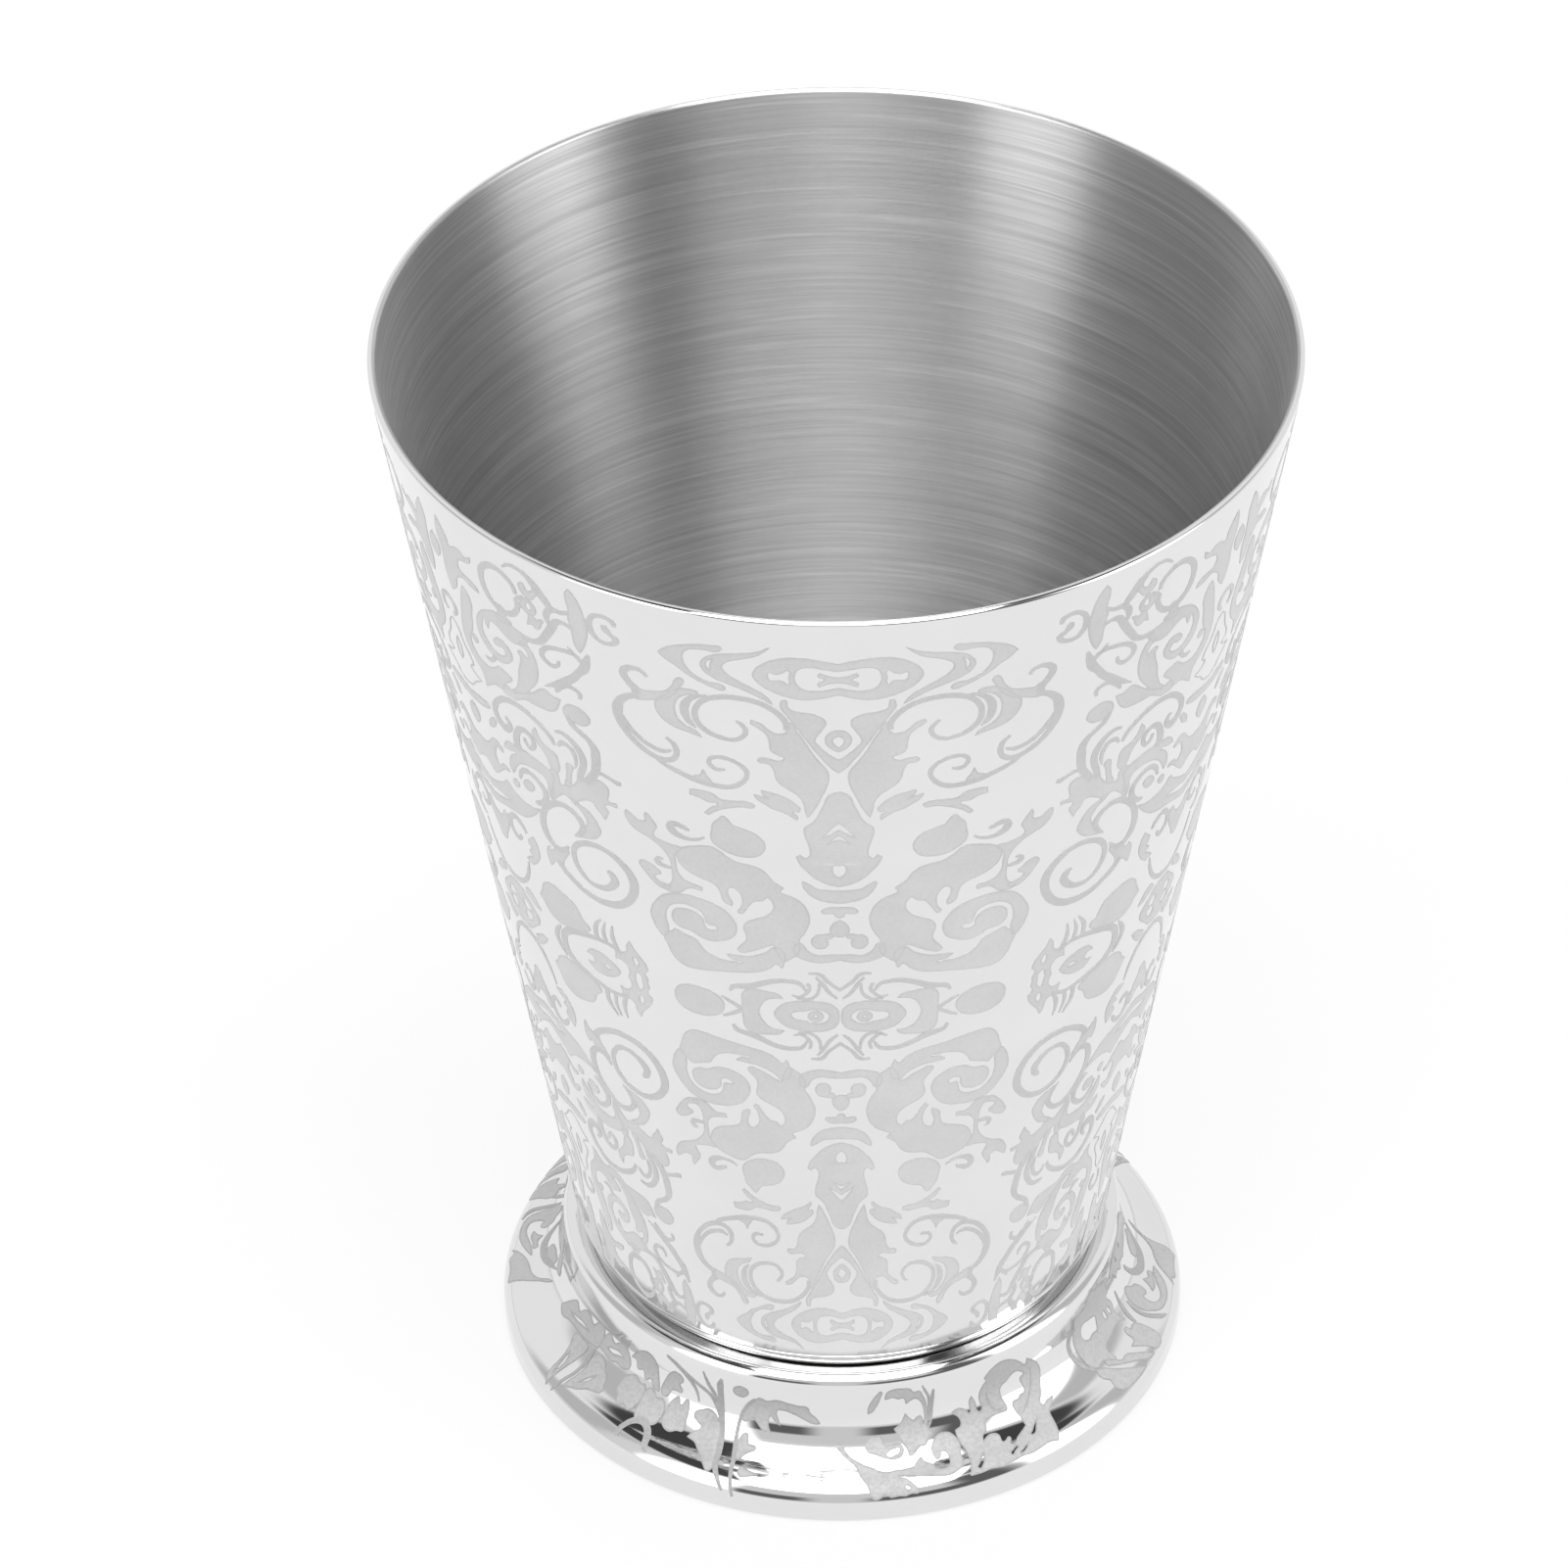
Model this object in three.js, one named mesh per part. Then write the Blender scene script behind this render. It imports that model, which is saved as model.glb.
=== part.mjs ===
// A footed julep cup in stainless steel: a drawn, tapered beaker brazed to a hollow spun foot.
// Millimetres, +Z up, origin at the middle of the ring that the cup stands on.
import * as THREE from "three";

// The beaker: overall height, rim and bottom widths, sheet thickness and bottom corner.
const HEIGHT = 119.5;
const RIM_DIAMETER = 89.0;
const CUP_BOTTOM_DIAMETER = 54.0;
const CUP_WALL = 0.8;
const CUP_CORNER_RADIUS = 1.2;

// The foot, from the table up: a rounded lip, a sloping skirt, a cove, and a collar wider than the cup.
const FOOT_WALL = 0.8;
const TABLE_EDGE_RADIUS = 0.6;
const LIP_HEIGHT = 3.7;
const LIP_EDGE_RADIUS = 2.4;
const SKIRT_WIDTH = 6.4;
const SKIRT_SLOPE_DEGREES = 10;
const COVE_RADIUS = 5.3;
const COLLAR_HEIGHT = 8.5;
const COLLAR_STEP = 1.5;
const COLLAR_EDGE_RADIUS = 1.2;

// The foot's inward edges: the flange, stepped up to a seat that leaves a groove under the cup's corner,
// and the hem that the cup stands on.
const SEAT_RISE = 1.0;
const SEAT_SETBACK = 1.0;
const SEAT_WIDTH = 7.0;
const HEM_WIDTH = 3.4;

// The filler between the cup's bottom and the seat, set back from both edges of the seat.
const BRAZE_THICKNESS = 0.2;
const BRAZE_SETBACK = 0.5;

// The disc that closes the foot, trapped above the hem, with a raised pan to stiffen it.
const PLATE_THICKNESS = 0.6;
const PLATE_CLEARANCE = 0.3;
const PLATE_BORDER = 6.0;
const PAN_RISE = 1.0;
const PAN_CORNER_RADIUS = 1.2;

// How finely round shapes are cut: steps round the axis, degrees per step along a rounded corner,
// and the size under which a corner is left sharp.
const TURN_STEPS = 72;
const ARC_STEP_DEGREES = 18;
const SHARP = 0.01;

const rimRadius = RIM_DIAMETER / 2;
const cupBottomRadius = CUP_BOTTOM_DIAMETER / 2;
const collarRadius = cupBottomRadius + COLLAR_STEP;
const footRadius = collarRadius + SKIRT_WIDTH;
const skirtTopHeight = LIP_HEIGHT + SKIRT_WIDTH * Math.tan(THREE.MathUtils.degToRad(SKIRT_SLOPE_DEGREES));
const collarTopHeight = skirtTopHeight + COLLAR_HEIGHT;
const seatHeight = collarTopHeight + SEAT_RISE;
const seatRadius = cupBottomRadius - CUP_CORNER_RADIUS - SEAT_SETBACK;
const cupBottomHeight = seatHeight + BRAZE_THICKNESS;

const corner = (radius, height, round = 0) => ({ at: new THREE.Vector2(radius, height), round });

// The line of corners moved sideways by the sheet's thickness, to the left of its direction.
// A corner's rounding grows or shrinks with it, so that the sheet keeps its thickness there.
function inside(line, thickness) {
  const sides = line.slice(1).map(({ at }, i) => {
    const along = at.clone().sub(line[i].at).normalize();
    const normal = new THREE.Vector2(-along.y, along.x);
    return { along, start: line[i].at.clone().addScaledVector(normal, thickness), normal };
  });
  return line.map(({ at, round }, i) => {
    const before = sides[Math.max(i - 1, 0)];
    const after = sides[Math.min(i, sides.length - 1)];
    if (before === after) return { at: at.clone().addScaledVector(after.normal, thickness), round };
    const turn = before.along.cross(after.along);
    const reach = after.start.clone().sub(before.start).cross(after.along) / turn;
    const moved = before.start.clone().addScaledVector(before.along, reach);
    return { at: moved, round: Math.max(round - Math.sign(turn) * thickness, 0) };
  });
}

// The closed line of corners as points, with each rounded corner drawn as an arc.
// Two arcs that would take more than the side between them are both shrunk to share it.
function rounded(corners) {
  const bends = corners.map(({ at, round }, i) => {
    const back = corners.at(i - 1).at.clone().sub(at);
    const ahead = corners[(i + 1) % corners.length].at.clone().sub(at);
    const half = back.angleTo(ahead) / 2;
    return { at, back, ahead, half, reach: round / Math.tan(half) };
  });
  const share = (one, other, side) => Math.min(1, side.length() / (one.reach + other.reach));
  return bends.flatMap((bend, i) => {
    const last = bends.at(i - 1);
    const next = bends[(i + 1) % bends.length];
    const { at, half } = bend;
    const reach = bend.reach * Math.min(share(last, bend, bend.back), share(bend, next, bend.ahead));
    if (reach < SHARP) return [at];
    const radius = reach * Math.tan(half);
    const back = bend.back.clone().normalize();
    const ahead = bend.ahead.clone().normalize();
    const from = at.clone().addScaledVector(back, reach);
    const to = at.clone().addScaledVector(ahead, reach);
    const middle = at.clone().addScaledVector(back.add(ahead).normalize(), radius / Math.sin(half));
    const startAngle = from.sub(middle).angle();
    const endAngle = to.sub(middle).angle();
    const sweep = ((endAngle - startAngle + 3 * Math.PI) % (2 * Math.PI)) - Math.PI;
    const steps = Math.max(2, Math.ceil(THREE.MathUtils.radToDeg(Math.abs(sweep)) / ARC_STEP_DEGREES));
    const arc = new THREE.Path();
    arc.absarc(middle.x, middle.y, radius, startAngle, startAngle + sweep, sweep < 0);
    return arc.getSpacedPoints(steps);
  });
}

// A piece turned about the vertical axis. A closed ring repeats its first point to meet itself.
function turned(name, points, material) {
  const onAxis = points[0].x === 0;
  const profile = onAxis ? points : [...points, points[0]];
  const geometry = new THREE.LatheGeometry(profile, TURN_STEPS);
  geometry.rotateX(Math.PI / 2);
  const mesh = new THREE.Mesh(geometry, material);
  mesh.name = name;
  return mesh;
}

// The outline of a piece of sheet, out along one face and back along the other.
const sheet = (outer, inner) => rounded([...outer, ...inner.toReversed()]);

const polishedSteel = new THREE.MeshStandardMaterial({ color: 0xdcdcda, roughness: 0.12, metalness: 1 });
const brushedSteel = new THREE.MeshStandardMaterial({ color: 0xc4c4c2, roughness: 0.35, metalness: 1 });
const brazeFiller = new THREE.MeshStandardMaterial({ color: 0xa8a498, roughness: 0.45, metalness: 1 });

// The beaker. Its lip is the sheet's own edge, rounded over from both faces.
const lipRounding = CUP_WALL / 2;
const cupOutside = [
  corner(0, cupBottomHeight),
  corner(cupBottomRadius, cupBottomHeight, CUP_CORNER_RADIUS),
  corner(rimRadius, HEIGHT, lipRounding),
];
const cupInside = inside(cupOutside, CUP_WALL);
const lipTop = cupInside[2];
const lipRun = lipTop.at.clone().sub(cupInside[1].at);
lipTop.at.addScaledVector(lipRun, (HEIGHT - lipTop.at.y) / lipRun.y);
const cupBody = turned("cup_body", sheet(cupOutside, cupInside), polishedSteel);

// The foot, one sheet: the hem at the table, the lip, the skirt, the cove, the collar and the stepped flange.
const hemInnerRadius = footRadius - HEM_WIDTH;
const seatInnerRadius = seatRadius - SEAT_WIDTH;
const footOutside = [
  corner(hemInnerRadius, 0),
  corner(footRadius, 0, TABLE_EDGE_RADIUS),
  corner(footRadius, LIP_HEIGHT, LIP_EDGE_RADIUS),
  corner(collarRadius, skirtTopHeight, COVE_RADIUS),
  corner(collarRadius, collarTopHeight, COLLAR_EDGE_RADIUS),
  corner(seatRadius + SEAT_RISE, collarTopHeight),
  corner(seatRadius, seatHeight),
  corner(seatInnerRadius, seatHeight),
];
const footInside = inside(footOutside, FOOT_WALL);
const footShell = turned("foot_shell", sheet(footOutside, footInside), polishedSteel);

// The filler lies flat between the cup's bottom and the seat.
const brazeOuterRadius = seatRadius - BRAZE_SETBACK;
const brazeInnerRadius = seatInnerRadius + BRAZE_SETBACK;
const brazeRing = turned(
  "braze_ring",
  [
    new THREE.Vector2(brazeInnerRadius, seatHeight),
    new THREE.Vector2(brazeOuterRadius, seatHeight),
    new THREE.Vector2(brazeOuterRadius, cupBottomHeight),
    new THREE.Vector2(brazeInnerRadius, cupBottomHeight),
  ],
  brazeFiller,
);

// The disc rests on the hem, clear of the bend at the hem's root, and rises to a flat pan inside it.
const hemBend = Math.max(TABLE_EDGE_RADIUS - FOOT_WALL, 0);
const plateRadius = footRadius - FOOT_WALL - hemBend - PLATE_CLEARANCE;
const panRadius = plateRadius - PLATE_BORDER;
const plateUnderside = [
  corner(0, FOOT_WALL + PAN_RISE),
  corner(panRadius - PAN_RISE, FOOT_WALL + PAN_RISE, PAN_CORNER_RADIUS),
  corner(panRadius, FOOT_WALL, PAN_CORNER_RADIUS),
  corner(plateRadius, FOOT_WALL),
];
const plateTop = inside(plateUnderside, PLATE_THICKNESS);
const basePlate = turned("base_plate", sheet(plateUnderside, plateTop), brushedSteel);

const cup = new THREE.Group();
cup.add(cupBody, footShell, brazeRing, basePlate);

export default cup;
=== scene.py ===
import itertools
import math

import bmesh
import bpy
from mathutils import Matrix, Vector
from mathutils.bvhtree import BVHTree


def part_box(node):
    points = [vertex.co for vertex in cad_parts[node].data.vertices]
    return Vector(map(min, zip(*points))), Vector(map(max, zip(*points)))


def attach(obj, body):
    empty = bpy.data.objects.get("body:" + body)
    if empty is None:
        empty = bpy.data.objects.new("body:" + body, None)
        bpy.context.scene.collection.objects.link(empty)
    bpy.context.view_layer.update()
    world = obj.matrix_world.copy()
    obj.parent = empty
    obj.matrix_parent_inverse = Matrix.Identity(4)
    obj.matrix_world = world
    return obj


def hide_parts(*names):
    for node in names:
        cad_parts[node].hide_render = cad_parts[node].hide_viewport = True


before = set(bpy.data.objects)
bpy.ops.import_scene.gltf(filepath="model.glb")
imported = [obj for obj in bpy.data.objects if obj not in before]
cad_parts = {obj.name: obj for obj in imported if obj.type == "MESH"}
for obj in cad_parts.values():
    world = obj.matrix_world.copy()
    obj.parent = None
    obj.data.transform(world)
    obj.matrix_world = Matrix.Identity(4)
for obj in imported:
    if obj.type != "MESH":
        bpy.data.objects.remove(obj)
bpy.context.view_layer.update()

# The cup: a beaker drawn from one sheet of stainless steel, tapered, with its edge rounded over as a lip.
# It is polished outside. Inside, its wall keeps the fine rings of the belt that smoothed it, and its bottom
# the rings of a turning tool. Both inside finishes take a darker grey than the outside, as painted shade.
MM = 0.001
cup_low, cup_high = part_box("cup_body")
CUP_BOTTOM = cup_low.z
CUP_TOP = cup_high.z
RIM_RADIUS = cup_high.x
CUP_BOTTOM_RADIUS = 27.0 * MM
CUP_WALL = 0.8 * MM
CUP_CORNER = 1.2 * MM
LIP_ROUND = 0.36 * MM
INNER_CORNER = CUP_CORNER - CUP_WALL / 2
TAPER = (RIM_RADIUS - CUP_BOTTOM_RADIUS) / (CUP_TOP - CUP_BOTTOM)
WALL_STEPS = 720
CORNER_STEPS = 12
ON_AXIS = 1e-9
SAME_POINT = 1e-7


def wall_radius(height):
    """The outside radius of the cup's wall at a height."""
    return CUP_BOTTOM_RADIUS + TAPER * (height - CUP_BOTTOM)


def turned(name, corners, steps):
    """A piece turned about the upright axis, from its section's (radius, height, rounding) corners."""
    shape = bmesh.new()
    points = [shape.verts.new((radius, 0, height)) for radius, height, rounding in corners]
    shape.faces.new(points)
    places = [point.co.copy() for point in points]
    for number, (radius, height, rounding) in enumerate(corners):
        if rounding:
            here = places[number]
            back = places[number - 1] - here
            ahead = places[(number + 1) % len(places)] - here
            reach = rounding / math.tan(back.angle(ahead) / 2)
            bmesh.ops.bevel(
                shape,
                geom=[points[number]],
                affect="VERTICES",
                offset=reach,
                segments=CORNER_STEPS,
                profile=0.5,
                material=-1,
            )
    bmesh.ops.delete(shape, geom=shape.faces[:], context="FACES_ONLY")
    on_axis = [edge for edge in shape.edges if max(abs(vert.co.x) for vert in edge.verts) < ON_AXIS]
    bmesh.ops.delete(shape, geom=on_axis, context="EDGES")
    bmesh.ops.spin(
        shape,
        geom=shape.verts[:] + shape.edges[:],
        cent=(0, 0, 0),
        axis=(0, 0, 1),
        angle=math.tau,
        steps=steps,
        use_merge=True,
    )
    bmesh.ops.remove_doubles(shape, verts=shape.verts[:], dist=SAME_POINT)
    bmesh.ops.recalc_face_normals(shape, faces=shape.faces[:])
    for face in shape.faces:
        face.smooth = True
    mesh = bpy.data.meshes.new(name)
    shape.to_mesh(mesh)
    shape.free()
    piece = bpy.data.objects.new(name, mesh)
    bpy.context.collection.objects.link(piece)
    piece.modifiers.new("flats_stay_flat", "WEIGHTED_NORMAL").mode = "FACE_AREA"
    return piece


class Wire:
    """A socket among a finish's nodes. Arithmetic on it adds Math nodes, and node() adds any other."""

    def __init__(self, tree, socket):
        self.tree = tree
        self.socket = socket

    def node(self, kind, settings, inputs, output=0):
        made = self.tree.nodes.new(kind)
        for name, value in settings.items():
            setattr(made, name, value)
        for name, value in inputs.items():
            if isinstance(value, Wire):
                self.tree.links.new(value.socket, made.inputs[name])
            else:
                made.inputs[name].default_value = value
        return Wire(self.tree, made.outputs[output])

    def maths(self, operation, *values):
        return self.node("ShaderNodeMath", {"operation": operation}, dict(enumerate(values)))

    def __add__(self, other):
        return self.maths("ADD", self, other)

    def __radd__(self, other):
        return self.maths("ADD", other, self)

    def __sub__(self, other):
        return self.maths("SUBTRACT", self, other)

    def __rsub__(self, other):
        return self.maths("SUBTRACT", other, self)

    def __mul__(self, other):
        return self.maths("MULTIPLY", self, other)

    def __rmul__(self, other):
        return self.maths("MULTIPLY", other, self)

    def noise(self, scale, detail, turn=(1, 1, 1)):
        """Even noise from 0 to 1 on this wire's coordinates, stretched by the three factors of turn."""
        place = self.node("ShaderNodeVectorMath", {"operation": "MULTIPLY"}, {0: self, 1: turn})
        return self.node(
            "ShaderNodeTexNoise",
            {},
            {"Vector": place, "Scale": scale, "Detail": detail, "Roughness": 0.6},
        )

    def between(self, low, high, start=0.0, stop=1.0):
        """This value moved from low and high to start and stop, eased at both ends."""
        return self.node(
            "ShaderNodeMapRange",
            {"interpolation_type": "SMOOTHSTEP"},
            {"Value": self, "From Min": low, "From Max": high, "To Min": start, "To Max": stop},
        )

    def tint(self, dark, pale):
        """The colour between two greys that this value, from 0 to 1, picks."""
        return self.node(
            "ShaderNodeMix",
            {"data_type": "RGBA"},
            {"Factor": self, 6: (*dark, 1), 7: (*pale, 1)},
            output=2,
        )


def steel(name, **constants):
    """A metal finish: its material, its shader, and the place on the piece that its pattern reads."""
    material = bpy.data.materials.new(name)
    material.use_nodes = True
    tree = material.node_tree
    shader = tree.nodes["Principled BSDF"]
    shader.inputs["Metallic"].default_value = 1
    for socket, value in constants.items():
        shader.inputs[socket].default_value = value
    coordinates = tree.nodes.new("ShaderNodeTexCoord")
    return material, shader, Wire(tree, coordinates.outputs["Object"])


def feed(shader, **wires):
    """Each wire linked to the shader's socket of that name, with an underscore for a space."""
    for name, wire in wires.items():
        wire.tree.links.new(wire.socket, shader.inputs[name.replace("_", " ")])


def relief(place, height, depth):
    """The normal that a height from 0 to 1 gives at a depth in metres."""
    return place.node("ShaderNodeBump", {}, {"Height": height, "Distance": depth, "Strength": 1.0})


polished, shader, place = steel("polished_steel")
haze = place.noise(70, 4)
wipe = place.noise(30, 5, turn=(1, 1, 9))
feed(
    shader,
    Base_Color=haze.between(0.3, 0.7).tint((0.755, 0.755, 0.755), (0.775, 0.775, 0.775)),
    Roughness=wipe.between(0.3, 0.75, 0.05, 0.085),
)

# Painted shade: the inside wall's greys sit well below the outside steel's, which darkens the inside of the
# cup. The rings and scratches are real.
brushed_inside_painted_shade, shader, place = steel("brushed_inside_painted_shade", Anisotropic=0.95, **{"Anisotropic Rotation": 0.25})
rings = place.noise(1, 3, turn=(25, 25, 2600))
scratches = place.noise(1, 2, turn=(55, 55, 1700))
fine_rings = place.noise(1, 2, turn=(90, 90, 9000))
worn = 0.7 * rings.between(0.25, 0.8) + 0.3 * scratches.between(0.5, 0.75)
feed(
    shader,
    Base_Color=worn.tint((0.43, 0.43, 0.43), (0.78, 0.78, 0.78)),
    Roughness=rings.between(0.2, 0.8, 0.41, 0.32),
    Normal=relief(place, fine_rings, 0.008 * MM),
)


def ring_brushed(name, pitch, greys, roughnesses):
    """A flat face's finish: rings round the upright axis, pitch to the metre, as a turning tool leaves."""
    material, shader, place = steel(name)
    across = place.node("ShaderNodeVectorMath", {"operation": "MULTIPLY"}, {0: place, 1: (1, 1, 0)})
    reach = place.node("ShaderNodeVectorMath", {"operation": "LENGTH"}, {0: across}, output=1)
    tool_rings = place.node("ShaderNodeCombineXYZ", {}, {"X": reach * pitch}).noise(1, 3)
    cloud = place.noise(90, 4)
    dark, pale = greys
    feed(
        shader,
        Base_Color=(0.6 * tool_rings + 0.4 * cloud).tint((dark, dark, dark), (pale, pale, pale)),
        Roughness=tool_rings.between(0.2, 0.8, *roughnesses),
        Normal=relief(place, tool_rings, 0.015 * MM),
    )
    return material


# Painted shade: the inside bottom takes the same darkened greys as the inside wall. Its tool rings are
# real.
brushed_floor_painted_shade = ring_brushed("brushed_floor_painted_shade", 1800, (0.43, 0.78), (0.75, 0.62))

inside_bottom = CUP_BOTTOM + CUP_WALL
cup = turned(
    "cup",
    [
        (0, CUP_BOTTOM, 0),
        (CUP_BOTTOM_RADIUS, CUP_BOTTOM, CUP_CORNER),
        (RIM_RADIUS, CUP_TOP, LIP_ROUND),
        (RIM_RADIUS - CUP_WALL, CUP_TOP, LIP_ROUND),
        (wall_radius(inside_bottom) - CUP_WALL, inside_bottom, INNER_CORNER),
        (0, inside_bottom, 0),
    ],
    steps=WALL_STEPS,
)
LEVEL = 0.9
WALL_FINISH = 1
FLOOR_FINISH = 2
cup.data.materials.append(polished)
cup.data.materials.append(brushed_inside_painted_shade)
cup.data.materials.append(brushed_floor_painted_shade)
for face in cup.data.polygons:
    outward = face.normal.x * face.center.x + face.normal.y * face.center.y
    if face.normal.z > LEVEL and face.center.z < CUP_TOP / 2:
        face.material_index = FLOOR_FINISH
    elif outward < 0:
        face.material_index = WALL_FINISH
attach(cup, "root")
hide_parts("cup_body")

# The wall's ornament: a damask of leaves and scrolls, etched so that it is matt on the polished wall.
# Two column patterns take turns round the cup. Each is drawn as one quarter on a flat sheet, in degrees
# from the column's own side of the front and in millimetres above the table, and mirrored both ways.
SHEET = 0.7
WIDE_STEP = 2.5
ORNAMENT_MIDDLE = 66.3
ORNAMENT_LOW = 16.2
ETCH_LIFT = 0.016 * MM
ETCH_LAYER = 0.0002 * MM
ETCH_DEPTH = 400
RIM_LINE = 0.18
SHARP = 1
CURVE_STEPS = 4
SAME_SPOT = 1e-4
CREASE = 0.7
COLUMN_TURNS = (0, 120, 240)


def leaf_curve(outlines):
    """A filled shape: its outline and any holes, smooth through the points that aren't marked SHARP."""
    curve = bpy.data.curves.new("leaf", "CURVE")
    curve.dimensions = "2D"
    curve.fill_mode = "FRONT"
    curve.resolution_u = CURVE_STEPS
    for points in outlines:
        spline = curve.splines.new("BEZIER")
        spline.bezier_points.add(len(points) - 1)
        spline.use_cyclic_u = True
        for knot, (across, height, *sharp) in zip(spline.bezier_points, points):
            knot.handle_left_type = "VECTOR" if sharp else "AUTO"
            knot.handle_right_type = knot.handle_left_type
            knot.co = (across * SHEET, height, 0)
    return curve


def scroll_curve(points, closed=False):
    """A ribbon along a smooth line, from (across, height, width) points, with SHARP added at a corner."""
    curve = bpy.data.curves.new("scroll", "CURVE")
    curve.dimensions = "3D"
    curve.twist_mode = "Z_UP"
    curve.extrude = 0.5
    curve.resolution_u = CURVE_STEPS
    spline = curve.splines.new("BEZIER")
    spline.bezier_points.add(len(points) - 1)
    spline.use_cyclic_u = closed
    for knot, (across, height, width, *sharp) in zip(spline.bezier_points, points):
        knot.handle_left_type = "VECTOR" if sharp else "AUTO"
        knot.handle_right_type = knot.handle_left_type
        knot.tilt = math.pi / 2
        knot.radius = width
        knot.co = (across * SHEET, height, 0)
    return curve


def drawn(leaves, scrolls):
    """All the shapes of a drawing in one flat mesh, each on a layer of its own.

    The leaves' fill takes the first finish. Their outlines and the scrolls take the second.
    """
    curves = [leaf_curve(outlines) for outlines in leaves.values()]
    fills = len(curves)
    for outline in itertools.chain(*leaves.values()):
        rim = [(across, height, RIM_LINE, *sharp) for across, height, *sharp in outline]
        curves.append(scroll_curve(rim, closed=True))
    curves += [scroll_curve(points) for points in scrolls.values()]
    flat = bmesh.new()
    for layer, curve in enumerate(curves):
        drawing = bpy.data.objects.new("drawing", curve)
        bpy.context.collection.objects.link(drawing)
        bpy.context.view_layer.update()
        made = drawing.evaluated_get(bpy.context.evaluated_depsgraph_get())
        mesh = bpy.data.meshes.new_from_object(made)
        mesh.transform(Matrix.Translation((0, 0, layer + 1)))
        mesh.polygons.foreach_set("material_index", [int(layer >= fills)] * len(mesh.polygons))
        flat.from_mesh(mesh)
        bpy.data.objects.remove(drawing)
        bpy.data.curves.remove(curve)
        bpy.data.meshes.remove(mesh)
    bmesh.ops.remove_doubles(flat, verts=flat.verts[:], dist=SAME_SPOT)
    bmesh.ops.dissolve_degenerate(flat, edges=flat.edges[:], dist=SAME_SPOT)
    return flat


def cut(flat, place, away):
    """The drawing cut along a line, without the part that lies on the line's away side."""
    bmesh.ops.bisect_plane(
        flat,
        geom=flat.verts[:] + flat.edges[:] + flat.faces[:],
        plane_co=place,
        plane_no=away,
        clear_outer=True,
    )


def mirrored(flat, place, across):
    """The drawing with its reflection in a line added."""
    twin = bmesh.ops.duplicate(flat, geom=flat.verts[:] + flat.edges[:] + flat.faces[:])["geom"]
    verts = [part for part in twin if isinstance(part, bmesh.types.BMVert)]
    about = Matrix.Translation(-Vector(place))
    bmesh.ops.scale(flat, vec=across, space=about, verts=verts)
    bmesh.ops.reverse_faces(flat, faces=[part for part in twin if isinstance(part, bmesh.types.BMFace)])


def ruled(flat, low, high):
    """The drawing cut into strips across, narrow enough to follow the round wall."""
    for number in range(math.ceil(low / WIDE_STEP), math.floor(high / WIDE_STEP) + 1):
        bmesh.ops.bisect_plane(
            flat,
            geom=flat.verts[:] + flat.edges[:] + flat.faces[:],
            plane_co=(number * WIDE_STEP * SHEET, 0, 0),
            plane_no=(1, 0, 0),
        )


def backed(flat):
    """The drawing given sides and a back, ETCH_DEPTH layers under it, so that each shape is closed."""
    bmesh.ops.triangulate(flat, faces=[face for face in flat.faces if len(face.verts) > 4])
    made = bmesh.ops.extrude_face_region(flat, geom=flat.faces[:], use_keep_orig=True)["geom"]
    back = [part for part in made if isinstance(part, bmesh.types.BMVert)]
    bmesh.ops.translate(flat, vec=(0, 0, -ETCH_DEPTH), verts=back)
    bmesh.ops.recalc_face_normals(flat, faces=flat.faces[:])
    for face in flat.faces:
        face.smooth = True
    for edge in flat.edges:
        edge.smooth = edge.calc_face_angle(0) < CREASE


def etched_piece(name, skin, fill, line):
    """A finished skin as a piece of its own, with one finish for its fill and one for its lines."""
    mesh = bpy.data.meshes.new(name)
    skin.to_mesh(mesh)
    skin.free()
    mesh.materials.append(fill)
    mesh.materials.append(line)
    piece = bpy.data.objects.new(name, mesh)
    bpy.context.collection.objects.link(piece)
    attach(piece, "root")


def laid_on_wall(name, flat, turns):
    """The drawing wrapped on the wall as a thin closed skin, and repeated at each turn in degrees."""
    backed(flat)
    for vert in flat.verts:
        angle = math.radians(vert.co.x / SHEET)
        height = vert.co.y * MM
        radius = wall_radius(height) + ETCH_LIFT + ETCH_LAYER * vert.co.z
        vert.co = (radius * math.sin(angle), -radius * math.cos(angle), height)
    for turn in turns:
        copy = flat.copy()
        about_axis = Matrix.Rotation(math.radians(turn), 3, "Z")
        bmesh.ops.rotate(copy, verts=copy.verts[:], cent=(0, 0, 0), matrix=about_axis)
        etched_piece(f"{name}_{turn}", copy, etched, etched_line)
    flat.free()


def frosted(name, dark, pale):
    """The matt finish that the etching leaves, between two greys."""
    material, shader, place = steel(name)
    frost = place.noise(2600, 3)
    cloud = place.noise(120, 3)
    mottle = 0.5 * frost + 0.5 * cloud
    feed(
        shader,
        Base_Color=mottle.between(0.3, 0.7).tint((dark, dark, dark), (pale, pale, pale)),
        Roughness=frost.between(0.3, 0.7, 0.75, 0.92),
        Normal=relief(place, frost, 0.004 * MM),
    )
    return material


etched = frosted("etched_wall", 0.685, 0.745)
etched_line = frosted("etched_wall_line", 0.64, 0.70)

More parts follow.
